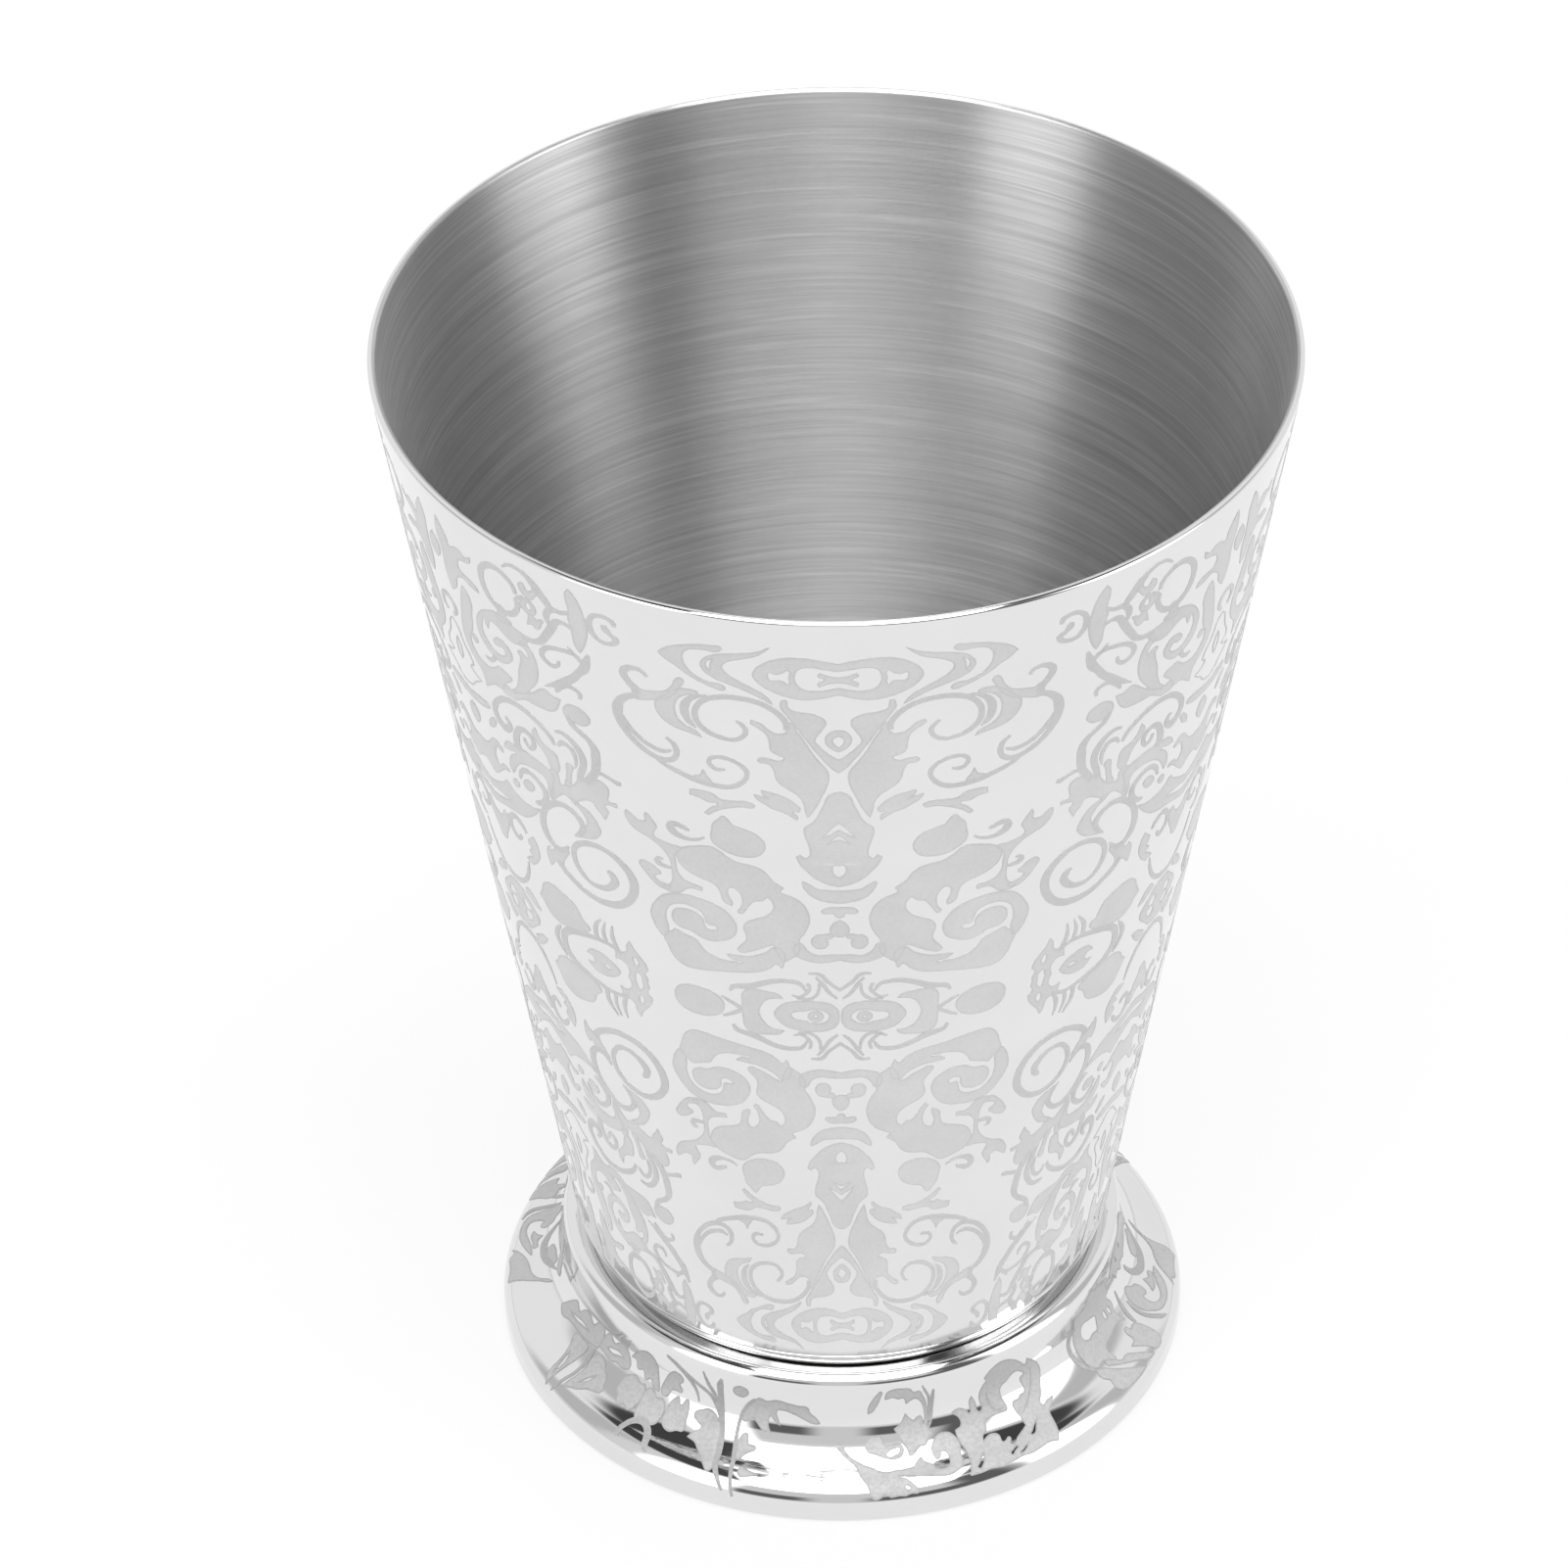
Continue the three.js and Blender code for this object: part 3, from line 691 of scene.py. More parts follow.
SIDE_AXIS = 60
SIDE_EDGE = 27
side_leaves = {
    "spindle": [
        [(33.9, 118, SHARP), (33.1, 117.2), (32.5, 116.1), (32.2, 114.9), (32, 113.6), (32.3, 112.2),
         (32.9, 110.9), (33.6, 110, SHARP), (34.2, 110.9), (34.3, 112.2), (34.4, 113.3), (34.6, 114.2),
         (34.3, 115.3), (34.5, 116.6), (34.4, 117.4)],
    ],
    "upper bract": [
        [(39.4, 116.2), (40, 115.4), (40.8, 115.3), (41.3, 116, SHARP), (42, 115.6), (41.9, 114.9),
         (41.3, 114.4), (40.4, 114.3), (39.5, 115), (38.8, 115.8)],
    ],
    "lower bract": [
        [(39, 112.1), (40, 111.8), (40.9, 112.2), (41.4, 111.4), (41.8, 110.6, SHARP), (41, 110.9),
         (40.2, 110.6), (39.6, 111), (39.3, 111.6)],
    ],
    "small ring": [
        [(41, 114.1), (42.1, 113.5), (42.3, 112.8), (41.6, 112.2), (40.5, 112.2), (39.9, 112.9),
         (40.2, 113.7)],
        [(41, 113.7), (41.5, 113.2), (41.3, 112.7), (40.8, 112.7), (40.5, 113.1), (40.6, 113.5)],
    ],
    "ring foot": [
        [(45.5, 110.6), (47.5, 110.6), (47.2, 109.8), (47.8, 109.1), (46, 108.9), (45, 109.2),
         (45.9, 109.9)],
    ],
    "swirl": [
        [(43, 108.6), (44.6, 108.9), (46.2, 109.4), (47.6, 109.5), (49.2, 109.1), (50.8, 108.4),
         (52, 107.4), (52.8, 106.1), (52.8, 104.8), (52.1, 103.8), (51, 103.1), (49.6, 102.7),
         (48.2, 102.9), (47, 103.5), (46.3, 104.4), (46.5, 105.2), (47.3, 105.8), (48.4, 105.9),
         (49.3, 105.5), (49.6, 105), (48.8, 104.8), (48.1, 105), (47.5, 104.7), (47.4, 104.3),
         (48.1, 103.8), (49.2, 103.6), (50.4, 103.9), (51.4, 104.7), (51.8, 105.6), (51.5, 106.6),
         (50.8, 107.4), (50.6, 106.9), (50.3, 106.4, SHARP), (50, 107.1), (49.4, 107.7), (48.3, 107.7),
         (47, 107.2), (45.8, 106.8), (44.4, 106.9), (43.2, 107.4), (42.6, 108)],
    ],
    "swirl arm": [
        [(43.4, 107.7), (42.4, 107.2), (41.8, 106.3), (41.6, 105.1), (41.8, 103.9), (42.3, 102.9),
         (43, 102.1), (43.9, 101.3), (44.6, 100.6), (45.6, 100.1), (46.6, 99.7), (47.6, 99.5),
         (46.8, 100.2), (46.2, 101), (45.7, 102), (45.4, 103), (45, 103.8), (44.6, 104.6), (44.4, 105.3),
         (44.7, 105.9), (44.2, 106.1), (43.4, 105.8), (43, 105.6), (42.8, 106.2), (43.2, 106.8),
         (44, 107.1)],
    ],
    "lower lobe": [
        [(38.4, 102.2, SHARP), (39.6, 102.1), (40.8, 102.5), (41.8, 102.2), (42.8, 101.5), (43.8, 100.9),
         (45, 100.4), (46.4, 99.9), (47.8, 99.6), (48.8, 99.7), (49.6, 99.2), (49.8, 98.6), (48.4, 98.5),
         (47.2, 98.6), (46.2, 99.1), (45.2, 99.5), (43.6, 99.6), (42, 99.7), (40.6, 99.9), (39.5, 100.5),
         (38.9, 101.3)],
    ],
    "outer arm": [
        [(47.4, 101.2), (48.6, 101.6), (49.8, 101.7), (50.8, 101.1), (52.2, 100.6), (53.8, 100.7),
         (55, 101.3), (55.6, 102.2), (55.4, 103.2), (54.6, 104.2), (54.2, 105.2), (53.9, 106.4),
         (53.4, 107.6), (53.5, 108.6), (54.2, 109.5), (54.7, 109.6, SHARP), (55.4, 108.4), (55.9, 107.2),
         (56.4, 105.8), (57, 104.2), (57.2, 102.8), (56.8, 101.4), (55.8, 100.2), (54.6, 99.4),
         (54, 98.5), (54, 97.4, SHARP), (53.2, 97.8), (52.2, 98.4), (51.2, 98.7), (50, 98.8),
         (49.4, 99.6), (48.6, 100.2), (47.9, 100.6)],
    ],
    "arm dot": [
        [(53.8, 103.3), (54.4, 103.7), (54.9, 103.4), (54.7, 102.9), (54.1, 102.8)],
    ],
    "berry": [
        [(33.9, 101), (34.6, 101.9), (35.9, 102.2), (37.3, 101.9), (38.1, 101.1), (38, 100.4),
         (37.1, 100), (35.8, 99.9), (34.6, 100.2)],
    ],
    "inner spear": [
        [(38.4, 93.5), (39.2, 93.6), (39.6, 92.4), (40, 91.2), (40.4, 90.4), (39.8, 90.2), (39.2, 91.4),
         (38.8, 92.5)],
    ],
    "arch leaf": [
        [(44.5, 96.1, SHARP), (45.2, 95.3), (44.9, 94.4), (44, 93.8), (43.2, 93), (42.8, 92), (42, 91.4),
         (41.2, 91.8), (41, 93), (41.4, 94), (42.6, 94.3), (43.6, 94.7), (44.2, 95.3)],
    ],
    "spreading leaf": [
        [(32.8, 92.6), (33.6, 93.1), (35, 92.9), (36.4, 92.4), (37.4, 92.3), (38.2, 91.4), (39.2, 90.6),
         (40.4, 90.2), (41.4, 90), (41.6, 91), (42.4, 91.6), (43, 91), (42.6, 90.3), (43, 89.4),
         (43.4, 88.6), (43.8, 87.8), (43.7, 86.8, SHARP), (43, 87.5), (42, 88.3), (41, 88.8), (40, 88.6),
         (39.2, 88.3), (38.4, 88.9), (37.4, 89.4), (36.4, 89.7), (35.6, 89.6), (35.2, 89), (34.6, 88.6),
         (34.1, 87.9, SHARP), (33.6, 88.6), (33.3, 89.2), (33.8, 89.8), (33.2, 90.2), (31.6, 90.3, SHARP),
         (31.7, 90.7, SHARP), (33, 90.8), (32.8, 91.6)],
    ],
    "curling leaf": [
        [(40, 88.8), (38.8, 88.5), (37.4, 88.2), (36.4, 87.6), (35.7, 86.8), (35.3, 85.8), (35.8, 85.1),
         (36.6, 84.5), (37.8, 84.1), (39.2, 83.8), (40.4, 83.5, SHARP), (39.4, 84.2), (38.4, 84.9),
         (37.8, 85.7), (37.4, 86.5), (37.8, 87.2), (38.6, 87.9), (39.6, 88.3)],
    ],
    "spiral leaf": [
        [(42.6, 80.7), (44, 80.3), (45.4, 79.9), (46.4, 79.2), (46.8, 79.6, SHARP), (47.4, 79),
         (47.5, 78), (47.2, 76.9, SHARP), (46.4, 77.6), (45.6, 78), (44.6, 77.9), (44, 78.8),
         (43.2, 79.6)],
    ],
    "long leaf": [
        [(47.3, 84.2, SHARP), (48.6, 83.8), (50.2, 83.7), (52, 83.8), (53.4, 84.2), (54.6, 84.8),
         (55.4, 84.2), (56.8, 83.6), (58.4, 83), (61, 82.4, SHARP), (61, 81.6, SHARP), (58.6, 82),
         (56.2, 82.2), (54.4, 82.2, SHARP), (56.4, 81.6), (58.6, 81.1), (61, 80.8, SHARP),
         (61, 79.8, SHARP), (58.6, 80.2), (56.8, 80.6), (55, 80.9), (53, 81.2), (51.2, 81.6),
         (49.6, 82.4), (48.4, 83.2)],
    ],
    "ring hood": [
        [(42.4, 90.6), (43.8, 91.2), (45.8, 91.5), (48, 91.6), (50, 91.4), (51.6, 91.2), (52.6, 90.6),
         (53, 90, SHARP), (51.6, 90.2), (50.2, 90.4), (51.4, 89.6), (52.2, 88.6), (52.4, 87.6),
         (52, 87, SHARP), (51.2, 88), (50.2, 88.9), (48.8, 89.6), (47.2, 89.9), (45.6, 89.9),
         (44.4, 89.6), (44, 88.8), (44.2, 87.9), (43.9, 86.9, SHARP), (43.2, 88), (43, 89.2)],
    ],
    "ring eye": [
        [(47.6, 87.2), (48.4, 87.5), (49.6, 87), (49.9, 86.4), (49, 86.1), (48, 86.4)],
    ],
    "ring dot": [
        [(51.3, 86), (52, 86.2), (52.5, 85.6), (52.2, 85.2), (51.5, 85.4)],
    ],
    "wing": [
        [(53.2, 86.7), (54.2, 86.5), (55.4, 85.8), (56.6, 85), (57.6, 84.6), (58.8, 85.2),
         (61, 85.6, SHARP), (61, 88.2, SHARP), (58.8, 88), (57.4, 88.6), (56.4, 89.4), (55.4, 89.8),
         (54.2, 89.5), (53.8, 88.9), (55.2, 89), (56, 88.2), (56.4, 87.2), (55.6, 86.4), (54.4, 87)],
    ],
    "talons": [
        [(50.6, 79.1, SHARP), (50, 78), (50, 76.9), (50.6, 76), (51.4, 75.3), (52.3, 74.8, SHARP),
         (53.8, 75, SHARP), (52.8, 75.6), (51.8, 76.1), (52.4, 76.6), (51.6, 77), (52.2, 77.9),
         (51.4, 78.6)],
    ],
    "axis leaf": [
        [(57.6, 79.4), (58.8, 78.4), (61, 77.9, SHARP), (61, 75.2, SHARP), (59.6, 75), (58.8, 76),
         (57.6, 77.4), (57.2, 78.4)],
    ],
    "brow": [
        [(41.2, 70.6), (42.4, 71.4), (43, 72.2), (43.6, 72.9), (45, 73.4), (46.6, 73.7), (48.2, 73.8),
         (49.6, 73.5), (50.6, 72.9), (51.2, 72), (52.2, 70.8, SHARP), (51.2, 70.2), (50.6, 69.5),
         (49.6, 69), (48, 68.8), (46.6, 68.9), (45.2, 68.9), (44, 69.3), (42.6, 69.7), (41.6, 70.1)],
    ],
    "fringe": [
        [(36.2, 69.6), (35.2, 69.5), (34.2, 69.9), (34, 70.8), (33.4, 71.5, SHARP), (32.8, 70.6),
         (31.8, 69.8), (31, 69), (30.7, 68.3, SHARP), (31.4, 67.6), (31, 66.9), (31.2, 66.2),
         (31.2, 64, SHARP), (34.8, 64, SHARP), (34.6, 66.2), (34.2, 67.2), (34.6, 68), (35.8, 68.4),
         (36.6, 68.2, SHARP), (36.4, 68.9)],
        [(32.2, 69), (32.9, 69.6), (33.2, 68.9), (32.7, 68.3)],
        [(32, 67.1), (32.9, 67.5), (33.3, 66.8), (33.6, 65.8, SHARP), (32.2, 65.8, SHARP)],
    ],
    "eye": [
        [(36.2, 65, SHARP), (36.2, 66.1), (36.5, 66.6), (37.2, 67.1), (38.6, 67.6), (40.2, 67.8),
         (41.8, 67.6), (42.8, 66.9, SHARP), (41.6, 66.8), (41.2, 66.2), (41.2, 65, SHARP),
         (39.8, 65, SHARP), (39.8, 66.1), (38.8, 66.6), (37.8, 66.4), (37.4, 66), (37.4, 65, SHARP)],
    ],
    "temple leaf": [
        [(53.2, 68.2, SHARP), (54, 69), (55, 69.7), (56.2, 69.9), (56.8, 69.3), (55.8, 68.8),
         (54.6, 68.3)],
    ],
    "temple": [
        [(54.4, 65, SHARP), (54.6, 66.6), (55.2, 67.2), (56.6, 68), (58.2, 68.9), (61, 69, SHARP),
         (61, 65, SHARP)],
        [(56.6, 66.9), (58, 67.7), (58.8, 67.2), (58.4, 66.5), (57.2, 66.4)],
    ],
    "star flower": [
        [(57.8, 116.8, SHARP), (57, 116), (56.2, 115), (55.8, 114), (54.8, 114.4), (53.4, 114.6),
         (52.4, 114.2), (51.2, 114.8, SHARP), (51.6, 113.9), (52.8, 113.6), (54, 113.2), (54.6, 112.2),
         (53.8, 111.6), (52.2, 111.5), (51, 111), (50.8, 110.6, SHARP), (52.4, 110.7), (54, 111),
         (55, 110.6), (55.8, 110), (56.2, 109), (57, 108.2), (57.6, 107.9, SHARP), (58, 109),
         (58.2, 110.4), (58, 111.8), (58.2, 113.4), (58.4, 115)],
    ],
    "star heart": [
        [(61, 114.4, SHARP), (59.4, 113.4), (58.9, 112.2), (59.4, 111.2), (61, 110.4, SHARP)],
    ],
    "axis plume": [
        [(61, 103.2, SHARP), (59.6, 102.9), (58.8, 102.2), (58.4, 101.2), (57.8, 100.4), (57, 99.6),
         (56.8, 98.6), (57.6, 98.2), (56.8, 97.6), (55.4, 97.3, SHARP), (56, 96.9), (57.4, 96.2),
         (58.4, 95.4), (61, 94.9, SHARP)],
        [(61, 101.4, SHARP), (59.9, 100.6), (59.4, 99.4), (59.8, 98.2), (61, 97.4, SHARP)],
    ],
    "axis bar": [
        [(54.8, 94.3), (56.4, 94.5), (58.4, 94.3), (61, 94, SHARP), (61, 93.3, SHARP), (58, 93.4),
         (56, 93.7)],
    ],
    "small petal": [
        [(53.9, 93), (54.8, 92.8), (55.6, 92), (55.8, 91.4, SHARP), (54.8, 91.7), (54.2, 92.3)],
    ],
    "axis bud": [
        [(61, 92.8, SHARP), (59.4, 92.2), (58.8, 91.2), (59.4, 90.2), (61, 89.6, SHARP)],
    ],
}
side_scrolls = {
    "hooked C": [
        (29.4, 114.9, 0.5), (29.2, 114.4, 0.8), (28.6, 113.9, 0.5), (27.9, 113.5, 0.7), (28.1, 113, 0.6),
        (29, 112.65, 0.5), (30, 112.6, 0.5), (31, 113.1, 0.6), (31.5, 114.2, 0.65), (31.2, 115.2, 0.6),
        (30.2, 115.9, 0.5), (29, 116, 0.55), (28, 115.6, 0.6), (27.9, 115.1, 0.35),
    ],
    "frame top": [
        (44.5, 116.7, 0.25), (43.4, 117.4, 0.4), (42, 117.6, 0.5), (40.6, 117.3, 0.65), (39.4, 116.5, 1),
        (38.5, 115.6, 1), (37.7, 114.8, 0.9), (37.2, 114.2, 0.5),
    ],
    "upper bar": [
        (34.3, 114.9, 0.4), (35.6, 114.4, 0.55), (36.9, 114.3, 0.65), (37.9, 113.6, 0.75),
        (38.2, 112.8, 0.65), (38, 112, 0.25),
    ],
    "frame foot": [
        (34.2, 112.8, 0.4), (35.5, 113.1, 0.5), (36.7, 112.8, 0.75), (37.4, 112, 0.9), (38.2, 111, 0.9),
        (39.1, 110, 0.85), (40, 109.1, 0.75), (41.2, 108.6, 0.6), (42.4, 108.45, 0.65),
        (43.4, 108.4, 0.8),
    ],
    "ring link": [
        (41.7, 114, 0.4), (42.7, 113.5, 0.5), (43.1, 112.9, 0.5), (42.3, 112.5, 0.4),
    ],
    "great ring": [
        (43, 113.9, 0.4), (43.2, 114.7, 0.55), (44.2, 115.5, 0.65), (45.6, 115.9, 0.7),
        (47.2, 115.7, 0.7), (48.6, 114.9, 0.75), (49.3, 113.8, 0.75), (49.3, 112.5, 0.75),
        (48.6, 111.3, 0.75), (47.4, 110.6, 0.75), (45.9, 110.4, 0.7), (44.6, 110.7, 0.7),
        (43.6, 111.4, 0.65), (43.1, 112.2, 0.6), (43, 112.9, 0.5),
    ],
    "small scroll": [
        (33.5, 108.6, 0.5), (34.4, 109.3, 0.55), (35.4, 109.4, 0.5), (36.6, 109.25, 0.5),
        (37.8, 109.05, 0.5), (38.9, 108.7, 0.55), (39.9, 108, 0.6), (40.2, 107.3, 0.6),
        (39.6, 106.7, 0.6), (38.6, 106.5, 0.55), (37.7, 106.9, 0.45), (37.4, 107.6, 0.3),
    ],
    "scroll tip": [
        (34.8, 109.3, 0.4), (35.1, 109.8, 0.4), (35.5, 110.1, 0.15),
    ],
    "stem": [
        (32.4, 110.1, 0.3), (32.9, 109, 0.85), (33.4, 108, 1.05), (34.4, 107.1, 0.8), (35.4, 106.1, 0.85),
        (36.6, 105.3, 0.9), (37.8, 104.6, 0.75), (39, 103.9, 0.6), (40.7, 103.1, 0.15),
    ],
    "stem hook": [
        (34.9, 103.5, 0.35), (34.8, 104.2, 0.5), (35.6, 104.6, 0.5), (36.8, 104.6, 0.6),
        (37.8, 104.2, 0.8), (38.6, 103.4, 0.6), (38.9, 103, 0.2),
    ],
    "swirl hook": [
        (50.1, 103.1, 0.4), (50.6, 102.3, 0.55), (51.6, 101.8, 0.5), (52.5, 101.9, 0.25),
    ],
    "berry stem": [
        (37.7, 100.4, 0.6), (37, 99.4, 0.7), (35.8, 98.8, 0.65), (34.6, 98.2, 0.7), (33.9, 97.3, 0.95),
        (33.9, 96.2, 1.05), (34.1, 95, 1), (34.5, 94, 0.9), (35.4, 93, 0.9), (36.4, 92, 0.8),
    ],
    "berry branch": [
        (30.4, 93.8, 0.5), (30.9, 93.75, 0.65), (31.8, 93.95, 0.5), (33, 94.2, 0.5), (34, 94.2, 0.5),
    ],
    "feather": [
        (40.5, 97.3, 0.3), (39.2, 97.5, 0.55), (37.9, 97.2, 0.7), (36.9, 96.4, 0.85), (36.3, 95.4, 0.85),
        (36.4, 94.2, 0.8), (37, 93.1, 0.75), (37.5, 91.9, 0.7),
    ],
    "inner feather": [
        (40.4, 95.4, 0.3), (39.6, 96.1, 0.6), (38.5, 96.1, 0.6), (37.7, 95.3, 0.55), (37.6, 94.2, 0.4),
        (37.9, 93.4, 0.1),
    ],
    "great arch": [
        (41.1, 95.2, 0.4), (41.6, 96, 0.6), (42.8, 96.8, 0.7), (44.4, 97.4, 0.7), (46.2, 97.75, 0.7),
        (48.2, 97.75, 0.7), (50, 97.4, 0.7), (51.6, 96.6, 0.7), (52.8, 95.6, 0.75), (53.3, 94.6, 0.8),
        (52.8, 93.6, 1), (51.6, 93.1, 1.1), (50.5, 93.5, 0.8), (50.2, 94.2, 0.6), (50.9, 94.8, 0.4),
    ],
    "arch spiral": [
        (47.4, 93.6, 0.4), (47.2, 93.1, 0.5), (46.4, 92.7, 0.6), (45.6, 93.2, 0.6), (45.6, 94.1, 0.6),
        (46.6, 94.7, 0.65), (47.8, 94.5, 0.7), (48.7, 93.8, 0.8), (49.2, 92.9, 0.9), (49.4, 92, 1),
        (48.8, 91.2, 0.9),
    ],
    "C ring": [
        (40.4, 83.5, 0.25), (39.1, 84.4, 0.65), (38.5, 85.4, 0.75), (39.2, 86.4, 0.75), (40.6, 87, 0.7),
        (42.2, 87, 0.7), (43.8, 86.4, 0.75), (45.2, 85.5, 0.75), (46.4, 84.3, 0.8), (47, 83, 0.9),
        (47, 81.8, 0.95), (46.4, 80.8, 0.9), (45.2, 80.2, 0.75), (44, 80.2, 0.7), (43, 80.7, 0.55),
        (42.3, 81.4, 0.25),
    ],
    "spiral": [
        (35.3, 80.6, 0.4), (34.5, 80.2, 0.9), (34.2, 79.4, 1), (34.8, 78.7, 0.9), (36, 78, 0.7),
        (37.6, 77.65, 0.6), (39.2, 77.8, 0.6), (40.6, 78.6, 0.65), (41.4, 79.8, 0.7), (41.4, 81, 0.7),
        (40.6, 82.1, 0.7), (39.2, 82.9, 0.7), (37.4, 83.4, 0.7), (35.4, 83.5, 0.7), (33.4, 83, 0.8),
        (31.8, 82, 0.95), (30.9, 80.8, 1.05), (30.9, 79.4, 1.05), (31.6, 78.1, 1), (32.8, 77, 0.95),
        (34.4, 76.2, 0.9), (36.2, 75.8, 0.85), (38.2, 75.7, 0.8), (40.2, 75.9, 0.75), (42.2, 76.5, 0.75),
        (44, 77.3, 0.8), (45.3, 78.3, 0.8),
    ],
    "ring spiral": [
        (50.6, 86.9, 0.3), (50, 87.9, 0.6), (49, 88.6, 0.65), (47.6, 88.8, 0.65), (46.2, 88.4, 0.7),
        (45.2, 87.6, 0.75), (45.2, 86.6, 0.75), (46, 85.7, 0.7), (47.2, 85.1, 0.6), (47.9, 85, 0.25),
    ],
    "axis spiral": [
        (52.3, 78.9, 0.4), (53.2, 79.7, 0.7), (54.6, 80.1, 0.7), (56, 79.5, 0.7), (56.6, 78.5, 0.7),
        (56, 77.5, 0.65), (54.8, 77.2, 0.6), (54, 77.9, 0.35),
    ],
    "axis curl": [
        (59.2, 103.8, 0.4), (58.4, 104.6, 0.6), (58.6, 105.5, 0.6), (59.8, 106, 0.55), (61, 105.6, 0.45),
    ],
    "under brow": [
        (53.6, 74.6, 0.15), (54.2, 73.2, 0.45), (55.2, 71.8, 0.55), (56.8, 70.6, 0.6), (58.6, 70, 0.65),
        (61, 69.8, 0.65),
    ],
    "lid": [
        (35.3, 69.2, 0.5), (37, 69.7, 0.5), (39.2, 69.75, 0.5), (41.4, 69.5, 0.6), (43.6, 69.1, 0.75),
        (45.4, 68.7, 0.85), (46.8, 68.1, 0.9), (47.8, 67.3, 0.95), (48.1, 66, 1),
    ],
    "outer lid": [
        (48.2, 68.4, 0.2), (49.2, 67.5, 0.6), (49.8, 66.6, 0.7), (50, 65.6, 0.7),
    ],
    "first lash": [
        (35.9, 69.6, 0.5), (36.6, 71, 0.6), (36.3, 72.7, 0.15),
    ],
    "second lash": [
        (38, 69.8, 0.5), (38.3, 71.2, 0.5), (37.6, 72.8, 0.15),
    ],
    "third lash": [
        (39.9, 69.8, 0.6), (39.8, 71.4, 0.6), (38.3, 73, 0.2),
    ],
}
side = drawn(side_leaves, side_scrolls)
cut(side, place=(SIDE_AXIS * SHEET, 0, 0), away=(1, 0, 0))
cut(side, place=(0, ORNAMENT_MIDDLE, 0), away=(0, -1, 0))
ruled(side, SIDE_EDGE, SIDE_AXIS)
mirrored(side, place=(SIDE_AXIS * SHEET, 0, 0), across=(-1, 1, 1))
mirrored(side, place=(0, ORNAMENT_MIDDLE, 0), across=(1, -1, 1))
cut(side, place=(0, ORNAMENT_LOW, 0), away=(0, -1, 0))
laid_on_wall("etched_side_column", side, turns=COLUMN_TURNS)

# The foot: spun from the same sheet, hollow, with a collar wider than the cup, a cove, and a rounded lip.
# Its top flange steps up to the cup's seat, which leaves a dark groove, and its lower edge is hemmed.
FOOT_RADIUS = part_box("foot_shell")[1].x
SEAT_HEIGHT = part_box("foot_shell")[1].z
FOOT_WALL = 0.8 * MM
LIP_HEIGHT = 3.7 * MM
LIP_BEND = 2.4 * MM
TABLE_EDGE = 0.6 * MM
SKIRT_DEGREES = 10
COVE_BEND = 5.3 * MM
COLLAR_STEP = 1.5 * MM
EDGE_BEND = 1.2 * MM
SEAT_RISE = 1.0 * MM
SEAT_SETBACK = 1.0 * MM
SEAT_WIDTH = 7.0 * MM
SEAT_BEND = 0.4 * MM
FLANGE_SHIFT = 0.33 * MM
FLANGE_BEND = 0.3 * MM
HEM_WIDTH = 3.4 * MM
HEM_ROOT = 0.1 * MM
SHEET_EDGE = 0.2 * MM
FOOT_STEPS = 432
COLLAR_RADIUS = CUP_BOTTOM_RADIUS + COLLAR_STEP
COLLAR_TOP = SEAT_HEIGHT - SEAT_RISE
SKIRT_TOP = LIP_HEIGHT + math.tan(math.radians(SKIRT_DEGREES)) * (FOOT_RADIUS - COLLAR_RADIUS)
SEAT_RADIUS = CUP_BOTTOM_RADIUS - CUP_CORNER - SEAT_SETBACK
SEAT_INNER_RADIUS = SEAT_RADIUS - SEAT_WIDTH
STEP_RADIUS = SEAT_RADIUS + SEAT_RISE
HEM_INNER_RADIUS = FOOT_RADIUS - HEM_WIDTH

foot = turned(
    "foot",
    [
        (HEM_INNER_RADIUS, 0, SHEET_EDGE),
        (FOOT_RADIUS, 0, TABLE_EDGE),
        (FOOT_RADIUS, LIP_HEIGHT, LIP_BEND),
        (COLLAR_RADIUS, SKIRT_TOP, COVE_BEND),
        (COLLAR_RADIUS, COLLAR_TOP, EDGE_BEND),
        (STEP_RADIUS, COLLAR_TOP, SEAT_BEND),
        (SEAT_RADIUS, SEAT_HEIGHT, SEAT_BEND),
        (SEAT_INNER_RADIUS, SEAT_HEIGHT, SHEET_EDGE),
        (SEAT_INNER_RADIUS, SEAT_HEIGHT - FOOT_WALL, SHEET_EDGE),
        (SEAT_RADIUS - FLANGE_SHIFT, SEAT_HEIGHT - FOOT_WALL, FLANGE_BEND),
        (STEP_RADIUS - FLANGE_SHIFT, COLLAR_TOP - FOOT_WALL, FLANGE_BEND),
        (COLLAR_RADIUS - FOOT_WALL, COLLAR_TOP - FOOT_WALL, EDGE_BEND - FOOT_WALL),
        (COLLAR_RADIUS - FOOT_WALL, SKIRT_TOP - FOOT_WALL, COVE_BEND - FOOT_WALL),
        (FOOT_RADIUS - FOOT_WALL, LIP_HEIGHT - FOOT_WALL, LIP_BEND - FOOT_WALL),
        (FOOT_RADIUS - FOOT_WALL, FOOT_WALL, HEM_ROOT),
        (HEM_INNER_RADIUS, FOOT_WALL, SHEET_EDGE),
    ],
    steps=FOOT_STEPS,
)
foot.data.materials.append(polished)
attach(foot, "root")
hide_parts("foot_shell")
